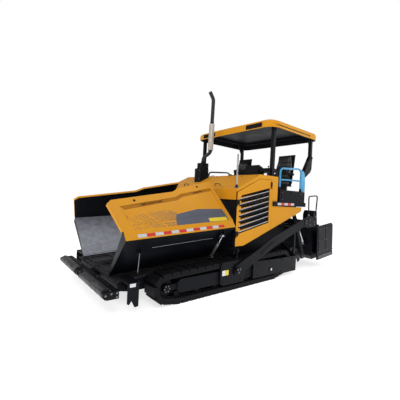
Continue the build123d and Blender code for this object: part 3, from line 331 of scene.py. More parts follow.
@dataclass(frozen=True)
class Finish:
    """A surface finish: its colours, gloss, texture and how it wears."""

    name: str
    colour: Colour
    roughness: float = 0.45
    metallic: float = 0.0
    coat: float = 0.0
    specular: float = 0.5
    mottle: float = 0.10
    mottle_scale: float = 2.5
    grain_scale: float = 260.0
    grain_depth: float = 0.0004
    rounding: float = 0.004
    wear: float = 0.0
    worn_colour: Colour = (0.36, 0.35, 0.34)
    dust: float = 0.12
    dust_colour: Colour = (0.33, 0.29, 0.24)
    streaks: float = 0.0
    streak_colour: Colour = (0.4, 0.4, 0.4)
    streak_stretch: Point = (1.0, 12.0, 12.0)

    def material(self) -> bpy.types.Material:
        """The Blender material of this finish, built at its first use."""
        found = bpy.data.materials.get(self.name)
        return found if found else self._build()

    def _build(self) -> bpy.types.Material:
        """Builds the node tree: colour, then streaks, worn edges and dust over it."""
        material = bpy.data.materials.new(self.name)
        material.use_nodes = True
        material.diffuse_color = (*self.colour, 1.0)
        graph = Graph(material.node_tree)
        shader = material.node_tree.nodes["Principled BSDF"]
        texture = graph.group("mottle and grain",
                              {"Mottle Scale": self.mottle_scale, "Grain Scale": self.grain_scale})
        light = [min(1.0, c * (1 + self.mottle)) for c in self.colour]
        dark = [c * (1 - self.mottle) for c in self.colour]
        mottle, middle = texture.outputs["Mottle"], (0.3, 0.7)
        colour = graph.mix(graph.spread(mottle, middle), (*dark, 1), (*light, 1))
        rough = graph.spread(mottle, middle, (self.roughness * 0.88, min(1.0, self.roughness * 1.14)))
        metal: object = self.metallic
        if self.streaks:
            rubbed = graph.group("rubbed streaks",
                                 {"Amount": self.streaks, "Stretch": self.streak_stretch}).outputs["Mask"]
            colour = graph.mix(rubbed, colour, (*self.streak_colour, 1))
        edge = graph.group("worn edges", {"Radius": self.rounding, "Wear": self.wear})
        if self.wear:
            colour = graph.mix(edge.outputs["Mask"], colour, (*self.worn_colour, 1))
            metal = graph.math("MAXIMUM", edge.outputs["Mask"], self.metallic)
        if self.dust:
            lying = graph.group("settled dust", {"Amount": self.dust}).outputs["Mask"]
            colour = graph.mix(lying, colour, (*self.dust_colour, 1))
            rough = graph.blend(lying, rough, 0.9)
            if isinstance(metal, Socket) or metal:
                metal = graph.math("MULTIPLY", metal, graph.math("SUBTRACT", 1.0, lying))
        bump = graph.add("ShaderNodeBump", {"Height": texture.outputs["Grain"], "Normal": edge.outputs["Normal"],
                                            "Strength": 0.6, "Distance": self.grain_depth})
        for socket, value in (("Base Color", colour), ("Roughness", rough), ("Normal", bump.outputs[0])):
            material.node_tree.links.new(value, shader.inputs[socket])
        if isinstance(metal, Socket):
            material.node_tree.links.new(metal, shader.inputs["Metallic"])
        else:
            shader.inputs["Metallic"].default_value = metal
        for socket, value in (("Coat Weight", self.coat), ("Coat Roughness", COAT_ROUGHNESS),
                              ("Specular IOR Level", self.specular)):
            shader.inputs[socket].default_value = value
        return material


YELLOW = Finish("amber machine enamel", (0.70, 0.30, 0.010), roughness=0.45, coat=0.04, specular=0.12, mottle=0.05,
                mottle_scale=1.2,
                grain_scale=420, grain_depth=0.0003, wear=0.10, worn_colour=(0.22, 0.20, 0.18), dust=0.10)
# Painted shade: a darker amber for the sloping top sides of the wing's recess, standing for the shade that falls on
# them.
SHADED_AMBER = Finish("amber enamel in the fold", (0.40, 0.155, 0.007), roughness=0.5, specular=0.1, mottle=0.06,
                    dust=0.05)
BLACK = Finish("black machine enamel", (0.0042, 0.0048, 0.0075), roughness=0.42, coat=0.0, specular=0.11, mottle=0.25,
               wear=0.08,
               worn_colour=(0.12, 0.12, 0.13), dust=0.035, dust_colour=(0.12, 0.115, 0.11))
SATIN_BLACK = Finish("satin black housing", (0.0050, 0.0056, 0.0085), roughness=0.5, specular=0.10, mottle=0.25,
                     wear=0.08,
                     worn_colour=(0.12, 0.12, 0.13), dust=0.05, dust_colour=(0.12, 0.115, 0.11))
WING_INNER = Finish("wing's inner face, rubbed by the mix", (0.0045, 0.0050, 0.0075), roughness=0.38, specular=0.12,
                    wear=0.2, dust=0.04,
                    streaks=0.08, streak_colour=(0.06, 0.06, 0.07), streak_stretch=(1.0, 9.0, 9.0))
WORN_FLOOR = Finish("hopper floor worn bright", (0.30, 0.31, 0.36), roughness=0.46, metallic=0.45, mottle=0.22,
                    mottle_scale=9,
                    streaks=0.35, streak_colour=(0.12, 0.12, 0.14), streak_stretch=(3.0, 7.0, 7.0), dust=0.06)
FLOOR_STEEL = Finish("conveyor floor steel", (0.030, 0.031, 0.036), roughness=0.5, metallic=0.4, specular=0.15,
                     mottle=0.3, mottle_scale=6,
                     wear=0.3, streaks=0.3, streak_colour=(0.10, 0.10, 0.11), streak_stretch=(0.7, 10, 10), dust=0.10)
SCREED_STEEL = Finish("screed wear steel", (0.050, 0.050, 0.056), roughness=0.45, metallic=0.5, specular=0.3,
                      mottle=0.3, mottle_scale=8,
                      wear=0.4, streaks=0.4, streak_colour=(0.3, 0.3, 0.3), dust=0.15)
ROLLER_STEEL = Finish("push roller steel", (0.018, 0.019, 0.023), roughness=0.42, metallic=0.4, specular=0.25,
                      mottle=0.2, wear=0.3,
                      streaks=0.5, streak_colour=(0.2, 0.2, 0.21), streak_stretch=(14, 1, 14), dust=0.1)
PAD_RUBBER = Finish("track pad rubber", (0.0055, 0.0058, 0.0075), specular=0.1, roughness=0.6, mottle=0.3,
                    mottle_scale=14, grain_scale=120,
                    grain_depth=0.0012, wear=0.2, worn_colour=(0.05, 0.05, 0.05), dust=0.14,
                    dust_colour=(0.08, 0.078, 0.075))
CHAIN_STEEL = Finish("track chain steel", (0.020, 0.020, 0.024), roughness=0.48, metallic=0.5, specular=0.15,
                     mottle=0.3, wear=0.3, dust=0.1)
CHROME = Finish("hard chrome rod", (0.62, 0.63, 0.66), roughness=0.12, metallic=1.0, mottle=0.03, grain_depth=0.0001,
                rounding=0.002, dust=0.05)
ZINC = Finish("zinc-plated steel", (0.42, 0.43, 0.44), roughness=0.34, metallic=0.9, mottle=0.1, rounding=0.002,
              dust=0.1)
# Painted highlight: light metallic strips laid along edges where light catches them, on the wings' ribs and the
# louvre blades.
HIGHLIGHT_EDGE = Finish("rubbed bright edge", (0.55, 0.56, 0.60), roughness=0.35, metallic=0.6, mottle=0.15,
                     mottle_scale=12, dust=0.05)
BOLT_STEEL = Finish("bolt steel", (0.18, 0.18, 0.19), roughness=0.38, metallic=0.9, mottle=0.1, rounding=0.0012,
                    dust=0.15)
BLUE = Finish("light blue rail wrap", (0.035, 0.33, 0.62), roughness=0.4, coat=0.3, mottle=0.12, dust=0.1)
EXHAUST = Finish("heat-tinted exhaust pipe", (0.009, 0.010, 0.016), roughness=0.34, metallic=0.3, mottle=0.3,
                 mottle_scale=5,
                 rounding=0.018, dust=0.03)
GUARD_STEEL = Finish("exhaust heat guard", (0.52, 0.47, 0.40), roughness=0.4, metallic=0.35, mottle=0.12,
                     mottle_scale=7, dust=0.04)
PLASTIC = Finish("moulded black plastic", (0.0055, 0.006, 0.0085), roughness=0.48, specular=0.14, grain_scale=700,
                 grain_depth=0.0005, dust=0.04)
VINYL = Finish("seat vinyl", (0.012, 0.013, 0.018), roughness=0.34, coat=0.5, mottle=0.18, grain_scale=420,
               grain_depth=0.0008, dust=0.03)
TAPE_RED = Finish("red reflective tape", (0.66, 0.012, 0.012), roughness=0.28, coat=0.6, mottle=0.05, grain_scale=500,
                  dust=0.04)
TAPE_WHITE = Finish("silver reflective tape", (0.58, 0.60, 0.61), roughness=0.28, coat=0.6, mottle=0.05,
                    grain_scale=500, dust=0.04)
BARE_YELLOW = Finish("bare yellow strip", (0.80, 0.60, 0.015), roughness=0.35, coat=0.4, mottle=0.04, dust=0.04)
BARE_WHITE = Finish("bare white plate", (0.72, 0.73, 0.73), roughness=0.4, mottle=0.04, dust=0.05)
GRAPHITE = Finish("graphite film", (0.095, 0.105, 0.135), roughness=0.45, specular=0.2, mottle=0.08, dust=0.04)
DARK_BLUE = Finish("dark blue wrap", (0.008, 0.020, 0.045), roughness=0.4, coat=0.3, mottle=0.15, dust=0.03)
GLASS_BLACK = Finish("dark screen glass", (0.006, 0.008, 0.012), roughness=0.08, coat=1.0, mottle=0.05, dust=0.03)
LAMP_GLASS = Finish("lamp glass", (0.66, 0.68, 0.70), roughness=0.16, coat=1.0, mottle=0.06, grain_scale=90,
                    grain_depth=0.002, dust=0.04)


# ---- meshes ----


class Shape:
    """A mesh in the making, its points already in the model's frame."""

    def __init__(self, name: str, finish: Finish) -> None:
        """Starts an empty shape whose faces take finish until another is chosen."""
        self.name = name
        self.mesh = bmesh.new()
        self.finishes = [finish]
        self.index = 0

    def use(self, finish: Finish) -> "Shape":
        """Faces made from here on take this finish."""
        if finish not in self.finishes:
            self.finishes.append(finish)
        self.index = self.finishes.index(finish)
        return self

    def _own(self, made: Iterable[bmesh.types.BMFace], smooth: bool = False) -> "Shape":
        """Gives new faces the finish in use."""
        for one in made:
            one.material_index = self.index
            one.smooth = smooth
        return self

    def loft(self, near: Sequence[Vector], far: Sequence[Vector]) -> "Shape":
        """A solid between two outlines of as many corners."""
        near, far = ([self.mesh.verts.new(p) for p in outline] for outline in (near, far))
        made = [self.mesh.faces.new(near), self.mesh.faces.new(far[::-1])]
        count = len(near)
        for i in range(count):
            j = (i + 1) % count
            made.append(self.mesh.faces.new((near[j], near[i], far[i], far[j])))
        return self._own(made)

    def prism(self, outline: Sequence[Vector], depth: Vector) -> "Shape":
        """A solid swept straight from a flat outline by depth."""
        return self.loft(outline, [Vector(p) + depth for p in outline])

    def box(self, low: Point, high: Point, side: int = 1) -> "Shape":
        """A box between two corners, whose widths are given for the left side."""
        near, far = sorted((side * low[1], side * high[1]))
        outline = [Vector((x, y, low[2]))
                   for x, y in ((low[0], near), (high[0], near), (high[0], far), (low[0], far))]
        return self.prism(outline, UP * (high[2] - low[2]))

    def _ring(self, centre: Vector, across: Vector, other: Vector, radius: float,
              sides: int) -> list[bmesh.types.BMVert]:
        """Points round a centre in the plane of two directions."""
        turns = (2 * math.pi * k / sides for k in range(sides))
        return [self.mesh.verts.new(centre + (across * math.cos(a) + other * math.sin(a)) * radius) for a in turns]

    def _tube(self, rings: Sequence[list[bmesh.types.BMVert]], smooth: bool) -> "Shape":
        """A solid through rings of as many points."""
        made = [self.mesh.faces.new(rings[0][::-1]), self.mesh.faces.new(rings[-1])]
        sides = len(rings[0])
        for low, high in zip(rings, rings[1:]):
            made += [self.mesh.faces.new((low[k], low[(k + 1) % sides], high[(k + 1) % sides], high[k]))
                     for k in range(sides)]
        return self._own(made, smooth)

    def turned(self, origin: Sequence[float], axis: Sequence[float], profile: Sequence[Pair],
               sides: int = 16) -> "Shape":
        """A solid of revolution.

        Args:
            origin: where the profile starts.
            axis: its direction.
            profile: (distance along the axis, radius) from end to end.
            sides: how many flats go round.

        Returns:
            This shape.
        """
        origin, axis = Vector(origin), Vector(axis).normalized()
        across = axis.orthogonal().normalized()
        other = axis.cross(across)
        rings = [self._ring(origin + axis * run, across, other, radius, sides) for run, radius in profile]
        return self._tube(rings, sides > 8)

    def bar(self, start: Sequence[float], end: Sequence[float], radius: float, sides: int = 12) -> "Shape":
        """A round bar from start to end with softened ends."""
        start, end = Vector(start), Vector(end)
        length = (end - start).length
        ease = min(radius * 0.25, length / 4)
        return self.turned(start, end - start,
                           ((0, radius - ease), (ease, radius), (length - ease, radius), (length, radius - ease)),
                           sides)

    def pipe(self, route: Sequence[Sequence[float]], radius: float, bend: float, sides: int = 12) -> "Shape":
        """A bent pipe through the route's corners, each rounded to the bend radius.

        Args:
            route: the corners of the pipe's centre line.
            radius: of the pipe.
            bend: of its centre line at each corner.
            sides: how many flats go round.

        Returns:
            This shape.
        """
        corners = [Vector(p) for p in route]
        line = [corners[0]]
        for before, corner, after in zip(corners, corners[1:], corners[2:]):
            to, on = (before - corner).normalized(), (after - corner).normalized()
            half = to.angle(on) / 2
            cut = min(bend / math.tan(half), (before - corner).length * 0.45, (after - corner).length * 0.45)
            a, b = corner + to * cut, corner + on * cut
            line += [a.lerp(corner, t).lerp(corner.lerp(b, t), t) for t in (0.0, 0.25, 0.5, 0.75, 1.0)]
        line.append(corners[-1])
        rings, side = [], (line[1] - line[0]).orthogonal().normalized()
        for i, point in enumerate(line):
            ahead = (line[min(i + 1, len(line) - 1)] - line[max(i - 1, 0)]).normalized()
            side = (side - ahead * side.dot(ahead)).normalized()
            other = ahead.cross(side)
            rings.append(self._ring(point, side, other, radius, sides))
        return self._tube(rings, True)

    def done(self, body: str, bevel: float = 0.0, segments: int = 2) -> Piece:
        """Turns the shape into a finished piece.

        Args:
            body: the body it moves with.
            bevel: width of its eased edges, or 0 for none.
            segments: faces across an eased edge.

        Returns:
            The piece.
        """
        return mounted(self.loose(bevel, segments), body)

    def loose(self, bevel: float = 0.0, segments: int = 2) -> Piece:
        """Turns the shape into an object that rides on nothing yet.

        Args:
            bevel: width of its eased edges, or 0 for none.
            segments: faces across an eased edge.

        Returns:
            The object.
        """
        bmesh.ops.recalc_face_normals(self.mesh, faces=self.mesh.faces)
        mesh = bpy.data.meshes.new(self.name)
        self.mesh.to_mesh(mesh)
        self.mesh.free()
        for finish in self.finishes:
            mesh.materials.append(finish.material())
        piece = linked(self.name, mesh)
        if bevel:
            ease = piece.modifiers.new("eased edges", "BEVEL")
            ease.width, ease.segments = bevel, segments
            ease.limit_method, ease.angle_limit = "ANGLE", math.radians(35)
            ease.harden_normals = True
            keep_applied(piece)
        return piece


def linked(name: str, data: bpy.types.ID) -> Piece:
    """A new object, linked to the scene."""
    made = bpy.data.objects.new(name, data)
    bpy.context.scene.collection.objects.link(made)
    return made


def evaluated(piece: Piece) -> bpy.types.Mesh:
    """The mesh that a piece's modifiers make, under the piece's name."""
    graph = bpy.context.evaluated_depsgraph_get()
    mesh = bpy.data.meshes.new_from_object(piece.evaluated_get(graph), depsgraph=graph)
    mesh.name = piece.name
    return mesh


def keep_applied(piece: Piece) -> None:
    """Replaces a piece's mesh by what its modifiers make of it and removes them."""
    mesh = evaluated(piece)
    piece.modifiers.clear()
    piece.data = mesh


def padded_out(piece: Piece, cap: float, voxel: float = 0.008, pressure: float = 4.0) -> Piece:
    """Swells a closed form into a cushion with Cloth, and smooths it.

    Args:
        piece: the form, slightly smaller than the cushion.
        cap: how far a point may move.
        voxel: size of the even faces that it swells on.
        pressure: inside the cushion.

    Returns:
        The piece, its mesh now the cushion's.
    """
    even = piece.modifiers.new("even faces", "REMESH")
    even.mode, even.voxel_size = "VOXEL", voxel
    keep_applied(piece)
    start = [vertex.co.copy() for vertex in piece.data.vertices]
    padding = piece.modifiers.new("padding", "CLOTH")
    padding.settings.use_pressure = True
    padding.settings.uniform_pressure_force = pressure
    padding.settings.effector_weights.gravity = 0.0
    padding.point_cache.frame_start, padding.point_cache.frame_end = 1, SWELL_FRAMES
    for moment in range(1, SWELL_FRAMES + 1):
        bpy.context.scene.frame_set(moment)
    keep_applied(piece)
    bpy.context.scene.frame_set(1)
    for vertex, old in zip(piece.data.vertices, start):
        move = vertex.co - old
        if move.length > cap:
            vertex.co = old + move.normalized() * cap
    finer = piece.modifiers.new("finer", "SUBSURF")
    finer.levels = finer.render_levels = 1
    keep_applied(piece)
    piece.data.shade_smooth()
    return piece


def sewn(piece: Piece, axis: int, lines: Sequence[float], depth: float = 0.008, width: float = 0.007) -> None:
    """Presses channels into a cushion where it is sewn through.

    Args:
        piece: the cushion.
        axis: the coordinate that the lines are given in.
        lines: where the channels run.
        depth: of a channel.
        width: half the width of a channel.
    """
    normals = [vertex.normal.copy() for vertex in piece.data.vertices]
    for vertex, normal in zip(piece.data.vertices, normals):
        press = sum(math.exp(-(((vertex.co[axis] - line) / width) ** 2)) for line in lines)
        vertex.co -= normal * depth * press


def mounted(piece: Piece, body: str) -> Piece:
    """Lets a piece ride on its body."""
    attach(piece, body)
    return piece


def paint(node: str, finish: Finish, rules: Sequence[tuple[Finish, Callable[[Vector, Vector], bool]]] = ()) -> None:
    """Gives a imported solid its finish, and other finishes to the faces that a rule picks.

    Args:
        node: the solid's name.
        finish: what most of it takes.
        rules: finishes with a test of a face's centre and outward normal; the first that holds wins.
    """
    solid = frame["nodes"][node]
    solid.data.materials.clear()
    solid.data.materials.append(finish.material())
    for other, _ in rules:
        solid.data.materials.append(other.material())
    for polygon in solid.data.polygons:
        picked = [i for i, (_, test) in enumerate(rules, 1) if test(polygon.center, polygon.normal)]
        polygon.material_index = picked[0] if picked else 0


# ---- repeats by Geometry Nodes ----


class Repeats:
    """Geometry Nodes trees for what repeats, and the pieces that they make."""

    def __init__(self) -> None:
        """Builds the trees once."""
        self.bolts = self._bolt_tree()
        self.squares = self._square_tree()
        self.links = self._link_tree()
        self.bars = self._bar_tree()

    @staticmethod
    def _open(name: str, inputs: Sequence[tuple]) -> tuple[Graph, Node, Node]:
        """Starts a tree that takes geometry, the inputs given and a material."""
        ends = ("Geometry", GEOMETRY, None), ("Material", "NodeSocketMaterial", None)
        return new_group(name, "GeometryNodeTree", [ends[0], *inputs, ends[1]], [("Geometry", GEOMETRY)])

    @staticmethod
    def _close(graph: Graph, given: Node, made: Node, instances: Socket) -> None:
        """Ends a tree in Realize Instances and Set Material."""
        real = graph.add("GeometryNodeRealizeInstances", {0: instances})
        dressed = graph.add("GeometryNodeSetMaterial",
                            {"Geometry": real.outputs[0], "Material": given.outputs["Material"]})
        graph.tree.links.new(dressed.outputs[0], made.inputs[0])

    def _bolt_tree(self) -> bpy.types.NodeTree:
        """Hex heads with washers, one at each vertex, square to its facing attribute."""
        graph, given, made = self._open("hex bolts", [("Head Radius", NUMBER, 0.012), ("Head Height", NUMBER, 0.008)])
        radius, height = given.outputs["Head Radius"], given.outputs["Head Height"]
        head = graph.add("GeometryNodeMeshCylinder", {"Vertices": 6, "Radius": radius, "Depth": height})
        lift = graph.vector(Z=graph.math("MULTIPLY", height, 0.72))
        head = graph.add("GeometryNodeTransform", {"Geometry": head.outputs[0], "Translation": lift})
        washer = graph.add("GeometryNodeMeshCylinder",
                           {"Vertices": 12, "Radius": graph.math("MULTIPLY", radius, 1.32),
                            "Depth": graph.math("MULTIPLY", height, 0.5)})
        both = graph.add("GeometryNodeJoinGeometry")
        for part in (head, washer):
            graph.tree.links.new(part.outputs[0], both.inputs[0])
        turn = graph.add("FunctionNodeAlignRotationToVector", {"Vector": graph.attribute("facing")}, axis="Z")
        put = graph.add("GeometryNodeInstanceOnPoints",
                        {"Points": given.outputs[0], "Instance": both.outputs[0], "Rotation": turn.outputs[0]})
        self._close(graph, given, made, put.outputs[0])
        return graph.tree

    def _square_tree(self) -> bpy.types.NodeTree:
        """Thin squares, one at each vertex, square to facing and along heading, sized by the size attribute."""
        graph, given, made = self._open("thin squares", [("Width", NUMBER, 0.03), ("Thickness", NUMBER, 0.0012)])
        extent = graph.vector(X=given.outputs["Width"], Y=given.outputs["Width"], Z=given.outputs["Thickness"])
        tile = graph.add("GeometryNodeMeshCube", {"Size": extent})
        size = graph.attribute("size", "FLOAT")
        turn = graph.add("FunctionNodeAlignRotationToVector", {"Vector": graph.attribute("facing")}, axis="Z")
        turn = graph.add("FunctionNodeAlignRotationToVector",
                         {"Rotation": turn.outputs[0], "Vector": graph.attribute("heading")},
                         axis="X", pivot_axis="Z")
        scale = graph.vector(X=size, Y=size, Z=1.0)
        put = graph.add("GeometryNodeInstanceOnPoints", {"Points": given.outputs[0], "Instance": tile.outputs[0],
                                                         "Rotation": turn.outputs[0], "Scale": scale})
        self._close(graph, given, made, put.outputs[0])
        return graph.tree

    def _link_tree(self) -> bpy.types.NodeTree:
        """Plate links with two pin heads each, spaced evenly along a closed curve."""
        graph, given, made = self._open("chain links",
                                        [("Count", "NodeSocketInt", 60), ("Length", NUMBER, 0.15),
                                         ("Height", NUMBER, 0.05),
                                                        ("Thickness", NUMBER, 0.02), ("Pin Radius", NUMBER, 0.014)])
        length, height, thick, pin = (given.outputs[n] for n in ("Length", "Height", "Thickness", "Pin Radius"))
        plate = graph.add("GeometryNodeMeshCube", {"Size": graph.vector(X=length, Y=thick, Z=height)})
        both = graph.add("GeometryNodeJoinGeometry")
        graph.tree.links.new(plate.outputs[0], both.inputs[0])
        for share in (-0.3, 0.3):
            head = graph.add("GeometryNodeMeshCylinder",
                             {"Vertices": 10, "Radius": pin, "Depth": graph.math("MULTIPLY", thick, 1.7)})
            spot = graph.vector(X=graph.math("MULTIPLY", length, share))
            head = graph.add("GeometryNodeTransform",
                             {"Geometry": head.outputs[0], "Translation": spot, "Rotation": (math.pi / 2, 0, 0)})
            graph.tree.links.new(head.outputs[0], both.inputs[0])
        spots = graph.add("GeometryNodeCurveToPoints", {"Curve": given.outputs[0], "Count": given.outputs["Count"]},
                          mode="COUNT")
        turn = graph.add("FunctionNodeAlignRotationToVector", {"Vector": spots.outputs["Tangent"]}, axis="X",
                         pivot_axis="Y")
        put = graph.add("GeometryNodeInstanceOnPoints",
                        {"Points": spots.outputs["Points"], "Instance": both.outputs[0], "Rotation": turn.outputs[0]})
        self._close(graph, given, made, put.outputs[0])
        return graph.tree

    def _bar_tree(self) -> bpy.types.NodeTree:
        """Equal boxes in a straight row, such as treads and ribs."""
        graph, given, made = self._open("row of bars", [
            ("Count", "NodeSocketInt", 10), ("Start", VECTOR, (0, 0, 0)), ("Step", VECTOR, (0.05, 0, 0)),
            ("Size", VECTOR, (0.02, 0.2, 0.004)), ("Turn", "NodeSocketRotation", None)])
        spots = graph.add("GeometryNodeMeshLine",
                          {"Count": given.outputs["Count"], "Start Location": given.outputs["Start"],
                           "Offset": given.outputs["Step"]})
        one = graph.add("GeometryNodeMeshCube", {"Size": given.outputs["Size"]})
        put = graph.add("GeometryNodeInstanceOnPoints",
                        {"Points": spots.outputs[0], "Instance": one.outputs[0], "Rotation": given.outputs["Turn"]})
        self._close(graph, given, made, put.outputs[0])
        return graph.tree

    @staticmethod
    def _carrier(name: str, spots: Sequence[Vector], vectors: dict[str, Sequence[Vector]],
                 numbers: dict[str, Sequence[float]]) -> Piece:
        """A mesh of loose vertices with the attributes that a tree reads."""
        mesh = bpy.data.meshes.new(name)
        mesh.from_pydata([tuple(p) for p in spots], [], [])
        for label, values in vectors.items():
            layer = mesh.attributes.new(label, "FLOAT_VECTOR", "POINT")
            layer.data.foreach_set("vector", [c for v in values for c in v])
        for label, values in numbers.items():
            layer = mesh.attributes.new(label, "FLOAT", "POINT")
            layer.data.foreach_set("value", list(values))
        return linked(name, mesh)

    @staticmethod
    def _grow(piece: Piece, tree: bpy.types.NodeTree, values: dict[str, object], finish: Finish) -> Piece:
        """Runs a tree on a carrier and keeps the result as a plain mesh.

        Args:
            piece: the object that the tree works on.
            tree: the Geometry Nodes tree.
            values: the tree's inputs by name.
            finish: what its Set Material puts on.

        Returns:
            The piece, its mesh now the tree's result.
        """
        grown = piece.modifiers.new("grown", "NODES")
        grown.node_group = tree
        for label, value in {**values, "Material": finish.material()}.items():
            socket = next(s for s in tree.interface.items_tree if s.item_type == "SOCKET" and s.in_out == "INPUT"
                          and s.name == label)
            grown[socket.identifier] = value
        mesh = evaluated(piece)
        for label in ("facing", "heading", "size"):
            if label in mesh.attributes:
                mesh.attributes.remove(mesh.attributes[label])
        name = piece.name
        bpy.data.objects.remove(piece)
        mesh.name = name
        return linked(name, mesh)

    def bolt_field(self, name: str, spots: Sequence[tuple[Vector, Vector]], radius: float, body: str,
                   finish: Finish = BOLT_STEEL, slot: Slot = Slot.ZINC) -> Piece:
        """Bolts at the given places.

        Args:
            name: of the piece.
            spots: (place, outward direction) of each bolt.
            radius: of a head.
            body: the body they move with.
            finish: their finish.
            slot: the record's slot; not used.

        Returns:
            The piece.
        """
        carrier = self._carrier(name, [Vector(p) for p, _ in spots], {"facing": [Vector(n) for _, n in spots]}, {})
        made = self._grow(carrier, self.bolts, {"Head Radius": radius, "Head Height": radius * BOLT_HEIGHT_SHARE},
                          finish)
        return mounted(made, body)

    def square_field(self, name: str, spots: Sequence[tuple[Vector, float]], facing: Vector, heading: Vector,
                     width: float, body: str,
                     finish: Finish, slot: Slot) -> Piece:
        """Thin squares of film, each at its own share of the full width."""
        carrier = self._carrier(name, [p for p, _ in spots],
                                {"facing": [facing] * len(spots), "heading": [heading] * len(spots)},
                                {"size": [s for _, s in spots]})
        return mounted(self._grow(carrier, self.squares, {"Width": width, "Thickness": 0.0016}, finish), body)

    def chain(self, name: str, route: Sequence[Vector], count: int, sizes: dict[str, float], body: str,
              finish: Finish, slot: Slot) -> Piece:
        """Chain links evenly along a closed route."""
        curve = bpy.data.curves.new(name, "CURVE")
        curve.dimensions = "3D"
        spline = curve.splines.new("POLY")
        spline.points.add(len(route) - 1)
        for point, place in zip(spline.points, route):
            point.co = (*place, 1.0)
        spline.use_cyclic_u = True
        carrier = linked(name, curve)
        return mounted(self._grow(carrier, self.links, {"Count": count, **sizes}, finish), body)

    def bar_row(self, name: str, count: int, start: Sequence[float], step: Sequence[float], size: Sequence[float],
                body: str,
                finish: Finish, slot: Slot, turn: Sequence[float] = (0.0, 0.0, 0.0)) -> Piece:
        """Equal bars in a row.

        Args:
            name: of the piece.
            count: how many bars.
            start: centre of the first.
            step: from one centre to the next.
            size: of a bar.
            body: the body they move with.
            finish: their finish.
            slot: the record's slot; not used.
            turn: of each bar about its own centre, in radians.

        Returns:
            The piece.
        """
        carrier = self._carrier(name, [Vector(start)], {}, {})
        made = self._grow(carrier, self.bars,
                          {"Count": count, "Start": tuple(start), "Step": tuple(step), "Size": tuple(size),
                           "Turn": tuple(turn)}, finish)
        return mounted(made, body)


# ---- hopper ----


